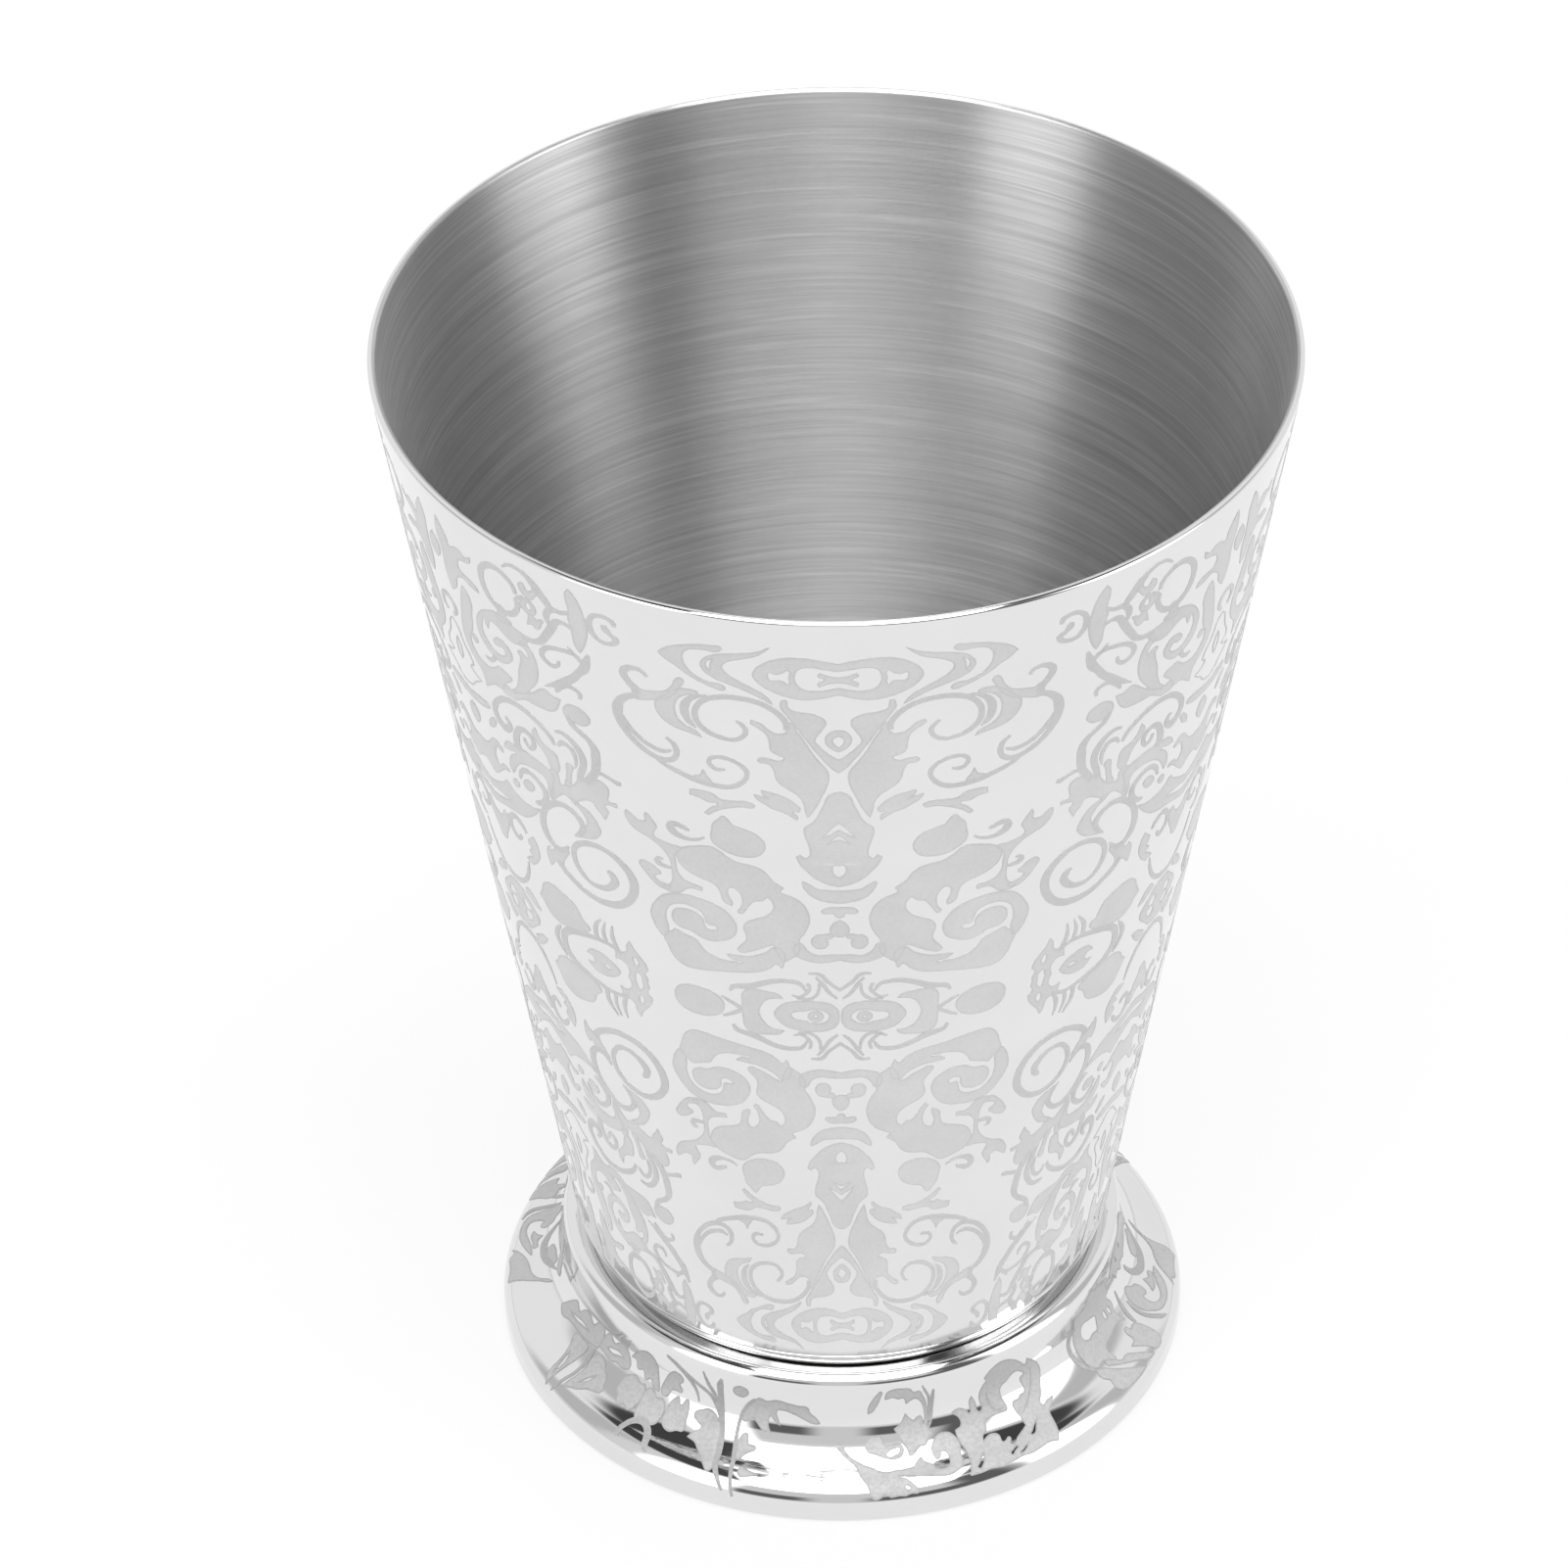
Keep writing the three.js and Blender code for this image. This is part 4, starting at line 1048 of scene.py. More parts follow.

# The foot's ornament: loose sprays of leaves on curling stems, etched in the same way over cove and lip,
# but darker than the wall's etching as painted shade.
# They are drawn in degrees from the front and in millimetres down the foot from the collar's edge.
FOOT_RISE = 0.45
SPRAY_START = 0.4
FOOT_LIFT = 0.03 * MM
SPRAY_LEFT = -75
SPRAY_RIGHT = 100
QUARTER = math.radians(90)
SWEEP = math.radians(90 - SKIRT_DEGREES)
COVE_REACH = COVE_BEND / math.tan((math.pi - SWEEP) / 2)
FOOT_RUN = [
    (EDGE_BEND * QUARTER, -QUARTER),
    (COLLAR_TOP - EDGE_BEND - SKIRT_TOP - COVE_REACH, 0),
    (COVE_BEND * SWEEP, SWEEP),
    (LIP_BEND * SWEEP, -SWEEP),
    (LIP_HEIGHT, 0),
]


def foot_place(down):
    """The radius and height on the foot's outside at a distance down its section."""
    radius = COLLAR_RADIUS - EDGE_BEND
    height = COLLAR_TOP
    heading = 0
    for length, turn in FOOT_RUN:
        part = min(down, length)
        end = heading + turn * part / length
        if turn:
            radius += length / turn * (math.sin(end) - math.sin(heading))
            height -= length / turn * (math.cos(end) - math.cos(heading))
        else:
            radius += part * math.cos(heading)
            height += part * math.sin(heading)
        heading = end
        down -= part
    return radius, height


def laid_on_foot(name, flat, turns):
    """The drawing pressed on the foot's outside, and repeated at each turn in degrees."""
    reach = [vert.co.y for vert in flat.verts]
    for number in range(math.ceil(min(reach) / FOOT_RISE), math.floor(max(reach) / FOOT_RISE) + 1):
        bmesh.ops.bisect_plane(
            flat,
            geom=flat.verts[:] + flat.edges[:] + flat.faces[:],
            plane_co=(0, number * FOOT_RISE, 0),
            plane_no=(0, 1, 0),
        )
    backed(flat)
    surface = BVHTree.FromObject(foot, bpy.context.evaluated_depsgraph_get())
    for vert in flat.verts:
        angle = math.radians(vert.co.x / SHEET)
        radius, height = foot_place((SPRAY_START - vert.co.y) * MM)
        near = (radius * math.sin(angle), -radius * math.cos(angle), height)
        spot, outward = surface.find_nearest(near)[:2]
        vert.co = spot + outward * (FOOT_LIFT + ETCH_LAYER * vert.co.z)
    first = flat.verts[:] + flat.edges[:] + flat.faces[:]
    for turn in turns:
        twin = bmesh.ops.duplicate(flat, geom=first)["geom"]
        verts = [part for part in twin if isinstance(part, bmesh.types.BMVert)]
        about_axis = Matrix.Rotation(math.radians(turn), 3, "Z")
        bmesh.ops.rotate(flat, verts=verts, cent=(0, 0, 0), matrix=about_axis)
    etched_piece(name, flat, foot_etch_painted_shade, foot_etch_painted_shade_line)


# Painted shade: the same etched finish as on the wall, given darker greys on the foot.
foot_etch_painted_shade = frosted("foot_etch_painted_shade", 0.505, 0.555)
foot_etch_painted_shade_line = frosted("foot_etch_painted_shade_line", 0.44, 0.49)

spray_leaves = {
    "left spray arched leaf": [
        [(-20.3, 6.6), (-19.6, 5.2), (-18.2, 4.2), (-17, 3.7), (-15.5, 3.9), (-13.5, 3.6), (-11, 3.8),
         (-9, 4), (-7.2, 4.1), (-6.6, 4.8), (-5.5, 5.3), (-4.6, 5.9, SHARP), (-6, 5.9), (-7.5, 5.6),
         (-9, 5.2), (-10.5, 4.9), (-12, 4.7), (-13.4, 4.9), (-12.6, 6.5, SHARP), (-13.8, 6),
         (-14.6, 5.6), (-15, 6.6), (-14.4, 7.4, SHARP), (-16, 7.2), (-17.2, 6.6), (-18.2, 6.2),
         (-19.2, 6.6)],
    ],
    "left spray bud": [
        [(-22.6, 3.4), (-21.6, 2.8), (-20.2, 2.8), (-19.4, 3.2), (-20, 3.8), (-21.4, 3.95)],
    ],
    "left spray hanging leaf": [
        [(-24.2, 8.4), (-25.4, 7.2), (-27.2, 6.6), (-29, 6.9), (-30.4, 7.6), (-29.2, 8.2), (-28.2, 8.6),
         (-29.4, 9.4), (-30, 10, SHARP), (-28.4, 10.2), (-27.2, 10.8), (-26.2, 11.4), (-25, 12.2),
         (-23.6, 12.8), (-23.2, 11.6), (-23.6, 10)],
    ],
    "left spray low leaf": [
        [(-19.8, 8.2), (-18.8, 8), (-18.2, 9), (-16.6, 9.2), (-17.8, 9.8), (-18.6, 10.2), (-19.4, 10.8),
         (-20, 10)],
    ],
    "left spray lowest leaf": [
        [(-18.4, 11.6), (-16.8, 11.8), (-15, 12.1, SHARP), (-16.6, 12.4), (-18.2, 12.5)],
    ],
    "front spray root leaf": [
        [(-1.6, 8, SHARP), (-0.2, 8.2), (0.6, 8.9), (1.4, 9.4), (2.8, 9.9), (4, 10.3), (5.2, 10.6),
         (6.4, 11), (7.8, 11.2), (9.6, 11.1), (11.4, 11.1), (12.8, 10.9), (13.6, 10.4),
         (14.4, 10, SHARP), (14.9, 10.6), (16, 11), (16.6, 11.6), (17.4, 11.8), (18.4, 11.8),
         (19.2, 11.5), (19.5, 10.7), (19.2, 10), (18.4, 9.9), (17.9, 10.4), (17.2, 10.5), (16.8, 10),
         (16.9, 9.2), (17.6, 8.6), (18.6, 8.2), (20, 8.1), (21.2, 8.4), (22, 9.1), (22.1, 9.9),
         (21.7, 10.5), (21.6, 11.3), (21.2, 12), (20.2, 12.3), (18.6, 12.6), (17, 12.5), (15.4, 12.3),
         (13.6, 12.1), (12, 12), (10.4, 11.8), (9.6, 11.8), (10.8, 12.2), (11.8, 12.8), (12.6, 13.5),
         (12.4, 13.8, SHARP), (11.4, 13.7), (10.4, 13.9, SHARP), (9.4, 13.8), (8, 13.9, SHARP),
         (7, 13.6), (6, 13.9, SHARP), (5.2, 14), (4.6, 13.6), (4.3, 12.8), (3.6, 12), (2.9, 11.2),
         (2.4, 10.4), (1.4, 9.8), (0.2, 9.2), (-0.8, 8.6)],
        [(10.5, 12.9), (11, 12.9), (11.4, 13.3), (10.9, 13.4)],
    ],
    "front spray tulip": [
        [(10.2, 6.8, SHARP), (11.2, 6.5), (12, 6), (12.6, 5.3, SHARP), (13.4, 5.9), (14.2, 6.2),
         (15, 5.9, SHARP), (15.8, 5.9), (16, 6.6), (16.6, 6.8), (17, 7.4), (17.6, 8, SHARP), (16.6, 8.2),
         (16, 8.8), (14.8, 8.9), (14, 9.2), (13.2, 9.6), (12.4, 9.7, SHARP), (12.2, 9), (11.6, 8.4),
         (11.2, 7.8), (10.6, 7.2)],
    ],
    "front spray round leaf": [
        [(4.3, 8.4), (4.6, 7.8), (5.6, 7.4), (6.8, 7.4), (7.6, 7.7), (7.9, 8.3), (9.2, 8.4), (10.6, 8.4),
         (11.4, 8.7), (11.3, 9.3), (10.6, 9.7), (9.4, 9.8), (8.2, 9.7), (7, 9.4), (5.8, 9.1), (4.8, 8.9)],
        [(8.1, 9.3), (8.8, 8.9), (9.8, 8.75), (10.8, 8.8), (10.6, 9.2), (9.6, 9.5), (8.6, 9.6)],
    ],
    "front spray fringe": [
        [(8.5, 3.1, SHARP), (8.8, 2.4), (10, 2), (12, 2), (13.6, 2.2), (14.4, 2.7), (15.6, 2.7),
         (16.3, 3.4), (16.9, 4.3), (17.1, 5.4), (17, 6.4), (16.6, 6.9), (16.6, 5.8), (16.4, 4.8),
         (15.8, 4), (14.8, 3.5), (13.8, 3.6), (12.8, 4, SHARP), (12.3, 3.2), (11.2, 3.2), (10, 2.9),
         (9.2, 3)],
    ],
    "front spray hooked leaf": [
        [(7.8, 2.1), (6.8, 2.5), (5.9, 3.2), (5.2, 4), (5, 4.8, SHARP), (5.8, 4.6), (6.6, 4), (7.2, 3.3),
         (7.6, 2.7)],
    ],
    "right spray leaf": [
        [(22.2, 8.2, SHARP), (23.6, 7.8), (23.5, 7), (22.2, 6.3, SHARP), (23.6, 6.1), (25, 6.4),
         (26, 6.9), (26.2, 5.8), (26.8, 5.2, SHARP), (27.4, 6), (27.6, 7), (28.6, 7), (28.5, 5.8),
         (28.9, 5), (29.8, 4.3), (30.4, 4, SHARP), (29.9, 3.5, SHARP), (31, 2.9), (32.6, 2.4),
         (34.2, 2.25), (36, 2.5), (37.6, 3), (39, 3.7), (40.2, 4.3), (40.6, 3.6, SHARP), (42, 4.2),
         (43.3, 5), (43.7, 5.8), (43.1, 6.8), (42.1, 8), (41, 9.2), (42.4, 9.1), (44, 9, SHARP),
         (42.8, 9.6), (41.4, 10.2), (40.9, 11.2), (40.3, 12.2), (39.4, 13.3, SHARP), (37.6, 13),
         (35.6, 13.1), (33.8, 13.2), (32, 13.1), (30, 13.2), (28, 13.3), (26, 13.1), (24, 13.2),
         (22, 13.2, SHARP), (22.7, 12.3), (23, 11.2), (22.9, 10.2), (22.4, 9.4)],
        [(33.6, 5.4), (35.2, 5, SHARP), (36.2, 4.6), (37.6, 4.4), (38.7, 4.7), (39.5, 5.2), (38.5, 5.6),
         (38.8, 6.4), (38.7, 7.1), (37.6, 7.2), (36.8, 7.5), (35.4, 7.6), (35.3, 8.4), (35.8, 9.4),
         (35.8, 10.3, SHARP), (34.4, 10.7), (33, 11.1), (31.8, 11.6), (31.2, 11.4), (31.7, 10.7),
         (30.7, 10.9), (30, 10.9), (29.9, 10), (28.8, 9.7), (27.4, 9.9), (26.6, 10.3, SHARP), (27, 9.5),
         (28.2, 9), (28.4, 8.3), (29.6, 8), (31, 7.95), (32.4, 8), (33.8, 7.9), (33.5, 7), (33.2, 6.2)],
        [(30.1, 12.5), (31, 12.05), (32.1, 11.9), (31.1, 12.4), (30.4, 12.65)],
        [(31.7, 12.85), (32.8, 12.4), (34.3, 12, SHARP), (33.6, 12.45), (32.5, 12.8)],
        [(35.5, 11.5), (36.4, 10.95), (37.4, 10.5), (38.6, 10.1, SHARP), (37.4, 10.9), (36.4, 11.5)],
        [(23.6, 12.6), (24.2, 12.2), (25, 11.6), (25.8, 11.2, SHARP), (25.4, 12), (24.6, 12.6),
         (24, 12.85)],
    ],
    "far right spray body": [
        [(55.2, 4.6), (55.4, 3.5), (57.4, 3.3), (59.6, 3), (61, 2.3), (62.6, 2.1), (64, 2.6), (65.4, 2.5),
         (67, 3.1), (68.4, 3.2), (69.6, 4.2), (70.6, 5.4, SHARP), (69.4, 5.6), (70.4, 6.8), (69.6, 7.8),
         (70.4, 9.2, SHARP), (68.6, 8.7), (66.6, 8.6), (64.4, 8.8), (62.2, 8.9), (61, 9.4), (60.9, 10.6),
         (59.6, 10), (58, 9.7), (56.4, 9.8), (55.2, 9.2), (54.6, 7.8), (54.4, 6.2)],
        [(57.2, 6.4), (57.4, 5.4), (58.8, 5), (60.4, 5.2), (62, 5.4), (63.4, 5.8), (63, 6.6), (62.4, 7.1),
         (60.8, 7), (58.6, 7.1)],
        [(65.8, 6.6), (66.4, 6.2), (67, 6.9), (66.6, 7.4), (66, 7.2)],
        [(67.8, 6.8), (68.4, 6.4), (69, 7), (68.6, 7.5), (68, 7.3)],
    ],
    "far right spray first blade": [
        [(55.6, 9.9, SHARP), (57.2, 10.3), (58.8, 11.3), (60.6, 12.3), (62.6, 13.1), (64, 13.6, SHARP),
         (61.4, 13.7), (58.8, 13.6), (56.4, 13.3), (55.4, 12.6), (55.9, 11.6), (55.2, 10.8)],
    ],
    "far right spray second blade": [
        [(58.4, 10.1), (60.2, 10.5), (61.4, 11.2), (63, 11.2), (64.6, 12), (66.2, 12.9),
         (67.4, 13.6, SHARP), (65.6, 13.4), (63.8, 12.7), (61.8, 11.9), (60, 11.1)],
    ],
    "far right spray third blade": [
        [(65.6, 11.2, SHARP), (67.4, 11), (67.8, 9.9), (68.8, 9.7), (69.2, 10.2), (70.4, 10.2),
         (71.4, 10.6), (71.6, 12), (71.2, 13.4), (70, 13.7), (68.6, 13.5), (67.6, 12.6), (66.6, 11.9)],
    ],
    "side spray crest": [
        [(72.5, 4.4, SHARP), (74.4, 3.2), (76.4, 2.6), (78.4, 1.8), (80.4, 1.5), (82.4, 1.1), (85, 1),
         (87, 1.8), (88.8, 2.8), (90.4, 3.8), (92.4, 4.6), (94.6, 5.6), (97, 6.4), (99.4, 7.2, SHARP),
         (97.4, 7.4), (95.4, 7.1), (93.4, 6.4), (91, 6.2), (88.6, 6.3), (86.4, 6.2), (84, 6.4), (82, 5.8),
         (80, 6.3), (78.2, 5.6), (76.4, 6, SHARP), (75.2, 5), (73.8, 5)],
        [(76.4, 3.2, SHARP), (78, 3.8), (79.6, 5, SHARP), (78, 4.6)],
        [(80.2, 2.8, SHARP), (82, 3.6), (83.8, 5, SHARP), (82, 4.4)],
    ],
    "side spray scroll": [
        [(76.2, 8.2), (77.6, 7.9), (79, 8.6), (80.4, 9), (80.8, 10), (79.8, 10.4), (78.8, 10.2),
         (78.2, 10.8), (78.4, 11.6), (79.8, 12), (81.6, 11.9), (83.8, 11.4), (86, 11), (88, 10.9, SHARP),
         (86, 11.6), (84, 12.2), (81.6, 12.6), (79.2, 12.6), (77, 12.2), (75.8, 11.2), (75.2, 9.8)],
    ],
    "side spray small leaf": [
        [(81.2, 11.1, SHARP), (82.4, 10.6), (83.2, 9.9, SHARP), (84.2, 10.4), (86.2, 10.5), (84.4, 10.9),
         (82.8, 11.2)],
    ],
    "side spray inner leaf": [
        [(88, 8.4), (90, 7.6), (92, 7.4), (94.4, 7.6), (92.6, 8.3), (90.4, 8.8)],
    ],
    "side spray blade": [
        [(98.6, 8.4, SHARP), (97, 9), (95.4, 10), (93.2, 10.8), (90.6, 11.1), (88.6, 11.5), (86.6, 12.3),
         (85, 13.3, SHARP), (86.4, 12.9), (87, 13.4), (89, 13.3), (91, 13.3), (93, 13.6, SHARP),
         (93.8, 12.6), (94.8, 11.2), (96, 10), (97.4, 9.2)],
    ],
    "far left spray first petal": [
        [(-48.2, 8), (-47.2, 7.2), (-45.6, 6.9), (-44, 7.3), (-42.8, 7.2), (-42.4, 8.4), (-42.8, 9.6),
         (-43.6, 10.3), (-45, 10), (-46.2, 10.4), (-47.4, 9.6), (-48.4, 9)],
    ],
    "far left spray second petal": [
        [(-42, 7.4), (-40.6, 7.2), (-39.4, 7.7), (-37.8, 7.6), (-36.8, 8.4), (-36.8, 9.6), (-37.6, 10.4),
         (-39, 10.2), (-40.2, 10.7), (-41.6, 10.4), (-42.2, 9)],
    ],
    "far left spray third petal": [
        [(-36.2, 8), (-35.4, 6.9), (-34.6, 6.6), (-33.8, 7.3), (-32.6, 6.5), (-31.8, 7.4), (-31.6, 8.6),
         (-31.4, 9.6), (-32.6, 9.8), (-33.8, 10.2), (-35, 10.1), (-36, 9.6)],
    ],
    "far left spray first upper leaf": [
        [(-48, 5.2, SHARP), (-46.4, 4.2), (-44.6, 3.5), (-42.6, 3.4), (-41, 4.2), (-40.4, 5.4), (-39.4, 7,
         SHARP), (-40.8, 6.9), (-42, 6.2), (-43.2, 6.6), (-44.2, 5.8), (-45.8, 6), (-46.6, 5.2)],
    ],
    "far left spray second upper leaf": [
        [(-38.8, 6.8), (-38.4, 5.4), (-37.4, 4.4), (-35.8, 3.9), (-34.2, 4.6), (-35, 5.2), (-34.2, 5.9),
         (-35.4, 6), (-36.6, 6.2), (-37.4, 7.1)],
    ],
    "far left spray upper broad leaf": [
        [(-57.6, 7, SHARP), (-56.8, 5.6), (-55.4, 4.8), (-53.6, 5.4), (-52.2, 4.9), (-50.4, 4.6),
         (-48.8, 5.4), (-48, 6.6), (-49.4, 7.1), (-51.4, 7), (-53.2, 7.3), (-55.4, 7.1)],
        [(-55.6, 6.4, SHARP), (-53.6, 6), (-51.6, 5.8), (-49.8, 6.1, SHARP), (-51.6, 6.3), (-53.6, 6.6)],
    ],
    "far left spray broad leaf": [
        [(-57.4, 8.2), (-55.6, 7.6), (-54, 8), (-52.8, 8.6, SHARP), (-52, 8.8), (-51.2, 9.6),
         (-50.6, 10.4), (-52, 10.9), (-53.4, 11.2), (-54.6, 11.9), (-56, 12.3), (-57.2, 12.8, SHARP),
         (-57.2, 11.4), (-57.1, 9.8)],
        [(-55.8, 11.4, SHARP), (-55, 10.2), (-53.8, 9.4, SHARP), (-54.4, 10.5)],
    ],
    "outer left spray wing": [
        [(-74, 8.1, SHARP), (-72, 6.8), (-69.5, 5.9), (-67.5, 6.4), (-66, 5.6), (-63.5, 5.2),
         (-61.5, 5.8), (-60, 5), (-57.8, 4.8), (-57.2, 6), (-57.8, 7.4, SHARP), (-60, 7.6), (-63, 7.8),
         (-66, 7.9), (-69, 8.1), (-71.5, 8.5)],
        [(-70.4, 7.4, SHARP), (-67.6, 7), (-64.6, 6.7), (-61.4, 6.8, SHARP), (-64.6, 7.1), (-67.6, 7.4)],
    ],
    "outer left spray blade": [
        [(-65, 8.3), (-62.6, 8), (-60.2, 8.1), (-60.2, 9.6), (-60.5, 11), (-60.3, 12.4),
         (-60.6, 14, SHARP), (-61.5, 13.2), (-62.1, 12), (-62.9, 10.8), (-63.9, 9.6)],
        [(-63, 9.7, SHARP), (-61.8, 10.5), (-61.1, 11.5), (-60.9, 12.7, SHARP), (-61.6, 11.8),
         (-62.4, 10.8)],
    ],
}
spray_stems = {
    "left spray tall stem": [
        (-20.6, 14.4, 0.3), (-21.6, 13.4, 0.5), (-22.8, 12, 0.7), (-23.2, 10.5, 0.8), (-23.6, 9, 0.8),
        (-24.2, 7.5, 0.7), (-24.9, 6, 0.7), (-25.4, 4.5, 0.9), (-25.5, 3.2, 1), (-25.2, 2.4, 0.4),
    ],
    "left spray main stem": [
        (-18.7, 14.8, 0.3), (-19.3, 13.5, 0.4), (-19.8, 12, 0.5), (-20.2, 10.5, 0.6), (-20.7, 9, 0.6),
        (-20.9, 7.5, 0.5), (-20.6, 6.2, 0.5), (-19.6, 5, 0.5), (-18, 4, 0.4),
    ],
    "left spray outer stem": [
        (-23.6, 8.4, 0.4), (-25.4, 6.6, 0.45), (-27.6, 5, 0.4), (-30.5, 4.2, 0.4), (-34.5, 3, 0.25),
    ],
    "left spray middle stem": [
        (-23.8, 7.6, 0.4), (-26.4, 5, 0.45), (-28.2, 3.6, 0.5), (-29.4, 2.2, 0.2),
    ],
    "front spray first stem": [
        (16.2, 2, 0.2), (16.8, 2.8, 0.4), (17.4, 3.5, 0.4), (17.6, 5, 0.4), (17.3, 6.5, 0.3),
    ],
    "front spray second stem": [
        (18.6, 2.8, 0.3), (18.3, 3.8, 0.6), (18.1, 5, 0.5), (17.6, 6.5, 0.4), (16.8, 7.4, 0.2),
    ],
    "right spray lobe": [
        (30.2, 5.3, 0.2), (30.3, 6.5, 0.35), (31, 7.3, 0.35), (32.2, 7.7, 0.35), (33.2, 7.6, 0.2),
    ],
    "right spray vein": [
        (36.4, 9, 0.15), (38, 8.4, 0.3), (39.8, 7.4, 0.3), (41, 6.2, 0.3), (41.4, 5, 0.15),
    ],
    "far right spray hook": [
        (55.6, 9.9, 0.3), (54, 8.8, 0.6), (53, 7.6, 0.7), (52.6, 6.4, 0.7), (53, 5.4, 0.7),
        (54.2, 4.8, 0.6), (55.6, 4.6, 0.4),
    ],
    "side spray stalk": [
        (73.6, 6.6, 0.3), (73, 7.6, 0.6), (72.3, 8.6, 0.7), (71.8, 9.5, 0.7), (71.5, 10.4, 0.4),
    ],
    "side spray left line": [
        (74.8, 8.6, 0.3), (74.3, 10, 0.6), (74.6, 11.4, 0.7), (75.6, 12.5, 0.7), (77, 13.1, 0.2),
    ],
    "side spray curl": [
        (82, 7, 0.6), (83, 8.3, 0.9), (85, 9.2, 1), (88, 9.4, 0.9), (91, 9.1, 0.8), (94, 8.3, 0.6),
        (96.5, 7.6, 0.2),
    ],
    "outer left spray stem": [
        (-58.2, 7.6, 0.4), (-58.1, 9, 0.6), (-58, 11, 0.5), (-58.3, 12.8, 0.4), (-58.9, 14, 0.2),
    ],
    "far left spray arch": [
        (-42.2, 13.2, 0.6), (-42, 12, 0.7), (-41.2, 11, 0.8), (-39.6, 10.5, 0.9), (-38, 10.9, 0.8),
        (-36.8, 11.8, 0.9), (-36.2, 12.8, 0.8), (-35.6, 13.3, 0.3),
    ],
    "far left spray thin stem": [
        (-38.2, 2.2, 0.3), (-35.6, 2.8, 0.5), (-33, 3.8, 0.5), (-31, 5, 0.4), (-30, 6.2, 0.2),
    ],
}
sprays = drawn(spray_leaves, spray_stems)
bmesh.ops.scale(sprays, vec=(1, -1, 1), verts=sprays.verts[:])
ruled(sprays, SPRAY_LEFT, SPRAY_RIGHT)
laid_on_foot("etched_foot_sprays", sprays, turns=(180,))

# The braze: the thin ring of filler metal that joins the cup's flat bottom to the seat of the foot.
# It lies deep in the groove, duller and a little browner than the steel.
braze_low, braze_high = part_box("braze_ring")
BRAZE_RADIUS = braze_high.x
BRAZE_SETBACK = 0.5 * MM
TURN_STEPS = 288
BRAZE_INNER_RADIUS = SEAT_INNER_RADIUS + BRAZE_SETBACK

braze_metal, shader, place = steel("braze_filler")
grain = place.noise(1400, 4)
feed(
    shader,
    Base_Color=grain.tint((0.34, 0.32, 0.28), (0.44, 0.42, 0.38)),
    Roughness=grain.between(0.2, 0.8, 0.4, 0.6),
    Normal=relief(place, grain, 0.02 * MM),
)
braze = turned(
    "braze",
    [
        (BRAZE_INNER_RADIUS, braze_low.z, 0),
        (BRAZE_RADIUS, braze_low.z, 0),
        (BRAZE_RADIUS, braze_high.z, 0),
        (BRAZE_INNER_RADIUS, braze_high.z, 0),
    ],
    steps=TURN_STEPS,
)
braze.data.materials.append(braze_metal)
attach(braze, "root")
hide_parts("braze_ring")

# The base plate: a pressed disc of thinner sheet that closes the hollow foot, held above the hem.
# Its middle is raised as a stiffening pan, and a turning tool has left rings on it.
plate_low, plate_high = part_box("base_plate")
PLATE_RADIUS = plate_high.x
PLATE_UNDERSIDE = plate_low.z
PLATE_SHEET = 0.6 * MM
PAN_RISE = plate_high.z - plate_low.z - PLATE_SHEET
PLATE_BORDER = 6.0 * MM
PLATE_EDGE = 0.15 * MM
PAN_RADIUS = PLATE_RADIUS - PLATE_BORDER
PAN_BEND = 1.2 * MM
PAN_SHIFT = 0.25 * MM
PAN_TOP = PLATE_UNDERSIDE + PAN_RISE + PLATE_SHEET
PAN_TOP_BEND = 1.6 * MM
PAN_FOOT_BEND = 0.6 * MM

brushed_plate = ring_brushed("brushed_steel", 6000, (0.42, 0.62), (0.42, 0.28))
plate = turned(
    "base_plate_disc",
    [
        (0, PLATE_UNDERSIDE + PAN_RISE, 0),
        (PAN_RADIUS - PAN_RISE, PLATE_UNDERSIDE + PAN_RISE, PAN_BEND),
        (PAN_RADIUS, PLATE_UNDERSIDE, PAN_BEND),
        (PLATE_RADIUS, PLATE_UNDERSIDE, PLATE_EDGE),
        (PLATE_RADIUS, PLATE_UNDERSIDE + PLATE_SHEET, PLATE_EDGE),
        (PAN_RADIUS + PAN_SHIFT, PLATE_UNDERSIDE + PLATE_SHEET, PAN_FOOT_BEND),
        (PAN_RADIUS - PAN_RISE + PAN_SHIFT, PAN_TOP, PAN_TOP_BEND),
        (0, PAN_TOP, 0),
    ],
    steps=TURN_STEPS,
)
plate.data.materials.append(brushed_plate)
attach(plate, "root")
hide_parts("base_plate")

# The stage: a wide pale table in matt paper, which the cup's wall reflects from below.
# It stays plain, and keeps the soft shadow under the foot.
TABLE_REACH = 8.0
PAPER_GREY = 0.56
PAPER_WHITE = 0.8
table = bmesh.new()
bmesh.ops.create_grid(table, x_segments=1, y_segments=1, size=TABLE_REACH)
table_mesh = bpy.data.meshes.new("table")
table.to_mesh(table_mesh)
table.free()
table_top = bpy.data.objects.new("table", table_mesh)
bpy.context.collection.objects.link(table_top)
paper = bpy.data.materials.new("pale_paper")
paper.use_nodes = True
paper_shader = paper.node_tree.nodes["Principled BSDF"]
paper_shader.inputs["Base Color"].default_value = (PAPER_GREY, PAPER_GREY, PAPER_GREY, 1)
paper_shader.inputs["Roughness"].default_value = 1
paper_shader.inputs["Specular IOR Level"].default_value = 0
sight = Wire(paper.node_tree, paper.node_tree.nodes.new("ShaderNodeLightPath").outputs["Is Camera Ray"])
mirrored_sight = sight.node("ShaderNodeLightPath", {}, {}, output="Is Glossy Ray")
through_sight = sight.node("ShaderNodeLightPath", {}, {}, output="Is Transmission Ray")
seen = sight.maths("MAXIMUM", sight.maths("MAXIMUM", sight, mirrored_sight), through_sight)
glow = sight.node("ShaderNodeEmission", {}, {"Color": (1, 1, 1, 1), "Strength": 1.0})
plain = Wire(paper.node_tree, paper_shader.outputs[0])
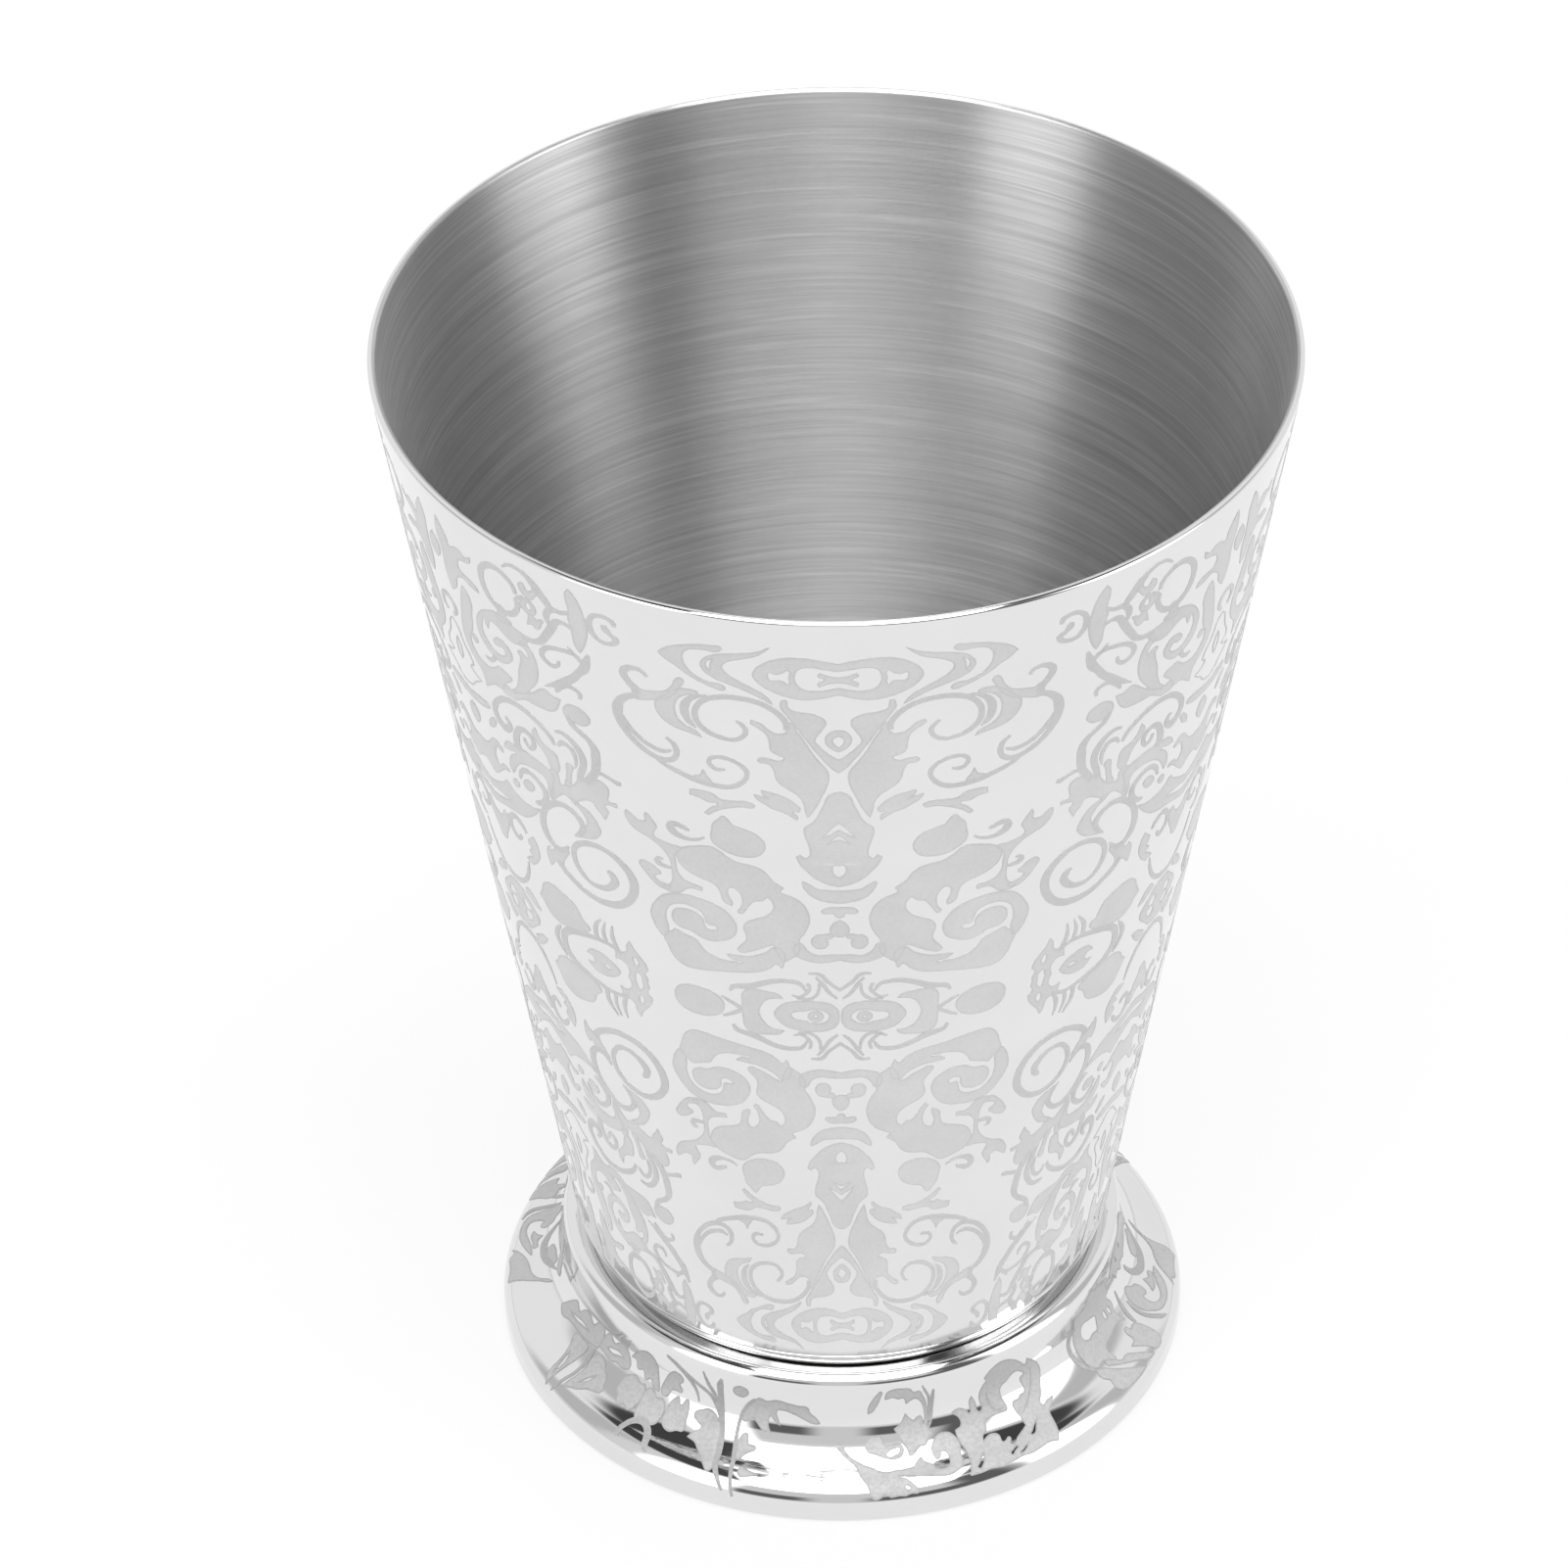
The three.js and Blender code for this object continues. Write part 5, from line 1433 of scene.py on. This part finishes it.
white = sight.node(
    "ShaderNodeMixShader",
    {},
    {0: PAPER_WHITE * seen, 1: plain, 2: glow},
)
paper.node_tree.links.new(white.socket, paper.node_tree.nodes["Material Output"].inputs["Surface"])
table_mesh.materials.append(paper)

# The light: a pale tent with a bright soft box overhead and a bright panel at each side. Dark screens stand
# by the camera and beside it. The foot shows these as black bands, and the inside as pale and dark fans.
world = bpy.data.worlds.new("studio")
world.use_nodes = True
bpy.context.scene.world = world
tree = world.node_tree
direction = Wire(tree, tree.nodes.new("ShaderNodeTexCoord").outputs["Generated"])
east = direction.node("ShaderNodeSeparateXYZ", {}, {0: direction}, output=0)
north = direction.node("ShaderNodeSeparateXYZ", {}, {0: direction}, output=1)
up = direction.node("ShaderNodeSeparateXYZ", {}, {0: direction}, output=2)
azimuth = direction.maths("ARCTAN2", east, -1 * north) * (180 / math.pi)
elevation = direction.maths("ARCSINE", up) * (180 / math.pi)
SIDE_FADE = 5
END_FADE = 2


def screen(left, right, low, high):
    """How much of a screen, between two azimuths and two elevations in degrees, lies in a direction."""
    from_left = azimuth.between(left - SIDE_FADE, left + SIDE_FADE)
    to_right = azimuth.between(right - SIDE_FADE, right + SIDE_FADE, 1, 0)
    from_low = elevation.between(low - END_FADE, low + END_FADE)
    to_high = elevation.between(high - END_FADE, high + END_FADE, 1, 0)
    return from_left * to_right * (from_low * to_high)


TENT = 0.8
SOFT_BOX = 5.8
BRIGHT_PANEL = 3.8
FRONT_PANEL = 0.72
SIDE_SCREEN = 0.58
BACK_PANEL = 0.96
DARK_SCREEN = 0.13
CEILING = 0.06
BOX_LEFT = -0.27
BOX_RIGHT = 0.32
BOX_FADE = 0.02
LEFT_SLANT = 0.35
RIGHT_SLANT = 0.40
LEAST_UP = 0.05
overhead = direction.maths("MAXIMUM", up, LEAST_UP)
sideways = direction.maths("DIVIDE", east, overhead)
backwards = direction.maths("DIVIDE", north, overhead)
left_line = sideways - LEFT_SLANT * backwards
right_line = sideways + RIGHT_SLANT * backwards
left_edge = left_line.between(BOX_LEFT - BOX_FADE, BOX_LEFT + BOX_FADE)
right_edge = right_line.between(BOX_RIGHT - BOX_FADE, BOX_RIGHT + BOX_FADE, 1, 0)
box = elevation.between(42, 48) * left_edge * right_edge
ceiling = elevation.between(53, 57) * (1 - box)
lit = TENT + (CEILING - TENT) * ceiling + (SOFT_BOX - TENT) * box
lit = lit + (FRONT_PANEL - TENT) * screen(-36, 36, 2, 38)
lit = lit + (DARK_SCREEN - FRONT_PANEL) * (screen(-36, -11, 4, 21) + screen(8, 36, 4, 21))
lit = lit + (DARK_SCREEN - TENT) * screen(36, 54, 4, 50)
lit = lit + (BRIGHT_PANEL - TENT) * (screen(-62, -36, 2, 50) + screen(60, 88, 2, 50))
lit = lit + (SIDE_SCREEN - TENT) * (screen(-112, -80, 8, 52) + screen(92, 118, 8, 52))
lit = lit + (BACK_PANEL - TENT) * (screen(-190, -116, 4, 53) + screen(122, 190, 4, 53))
background = tree.nodes["Background"]
tree.links.new(lit.socket, background.inputs["Color"])
background.inputs["Strength"].default_value = 1

# The camera: at the photograph's height and distance, looking down at the cup through a long lens.
CAMERA_PLACE = Vector((0, -646.2, 571.4)) * MM
CAMERA_PITCH = math.radians(37.992)
CAMERA_YAW = math.radians(-0.478)
CAMERA_ROLL = math.radians(-0.675)
FOCAL_PIXELS = 8500
IMAGE_PIXELS = 1601
camera_data = bpy.data.cameras.new("camera")
camera_data.sensor_width = 36
camera_data.lens = FOCAL_PIXELS / IMAGE_PIXELS * camera_data.sensor_width
camera = bpy.data.objects.new("camera", camera_data)
camera.matrix_world = (
    Matrix.Translation(CAMERA_PLACE)
    @ Matrix.Rotation(-CAMERA_YAW, 4, "Z")
    @ Matrix.Rotation(math.pi / 2 - CAMERA_PITCH, 4, "X")
    @ Matrix.Rotation(CAMERA_ROLL, 4, "Z")
)
bpy.context.collection.objects.link(camera)
bpy.context.scene.camera = camera
bpy.context.scene.view_settings.view_transform = "Standard"
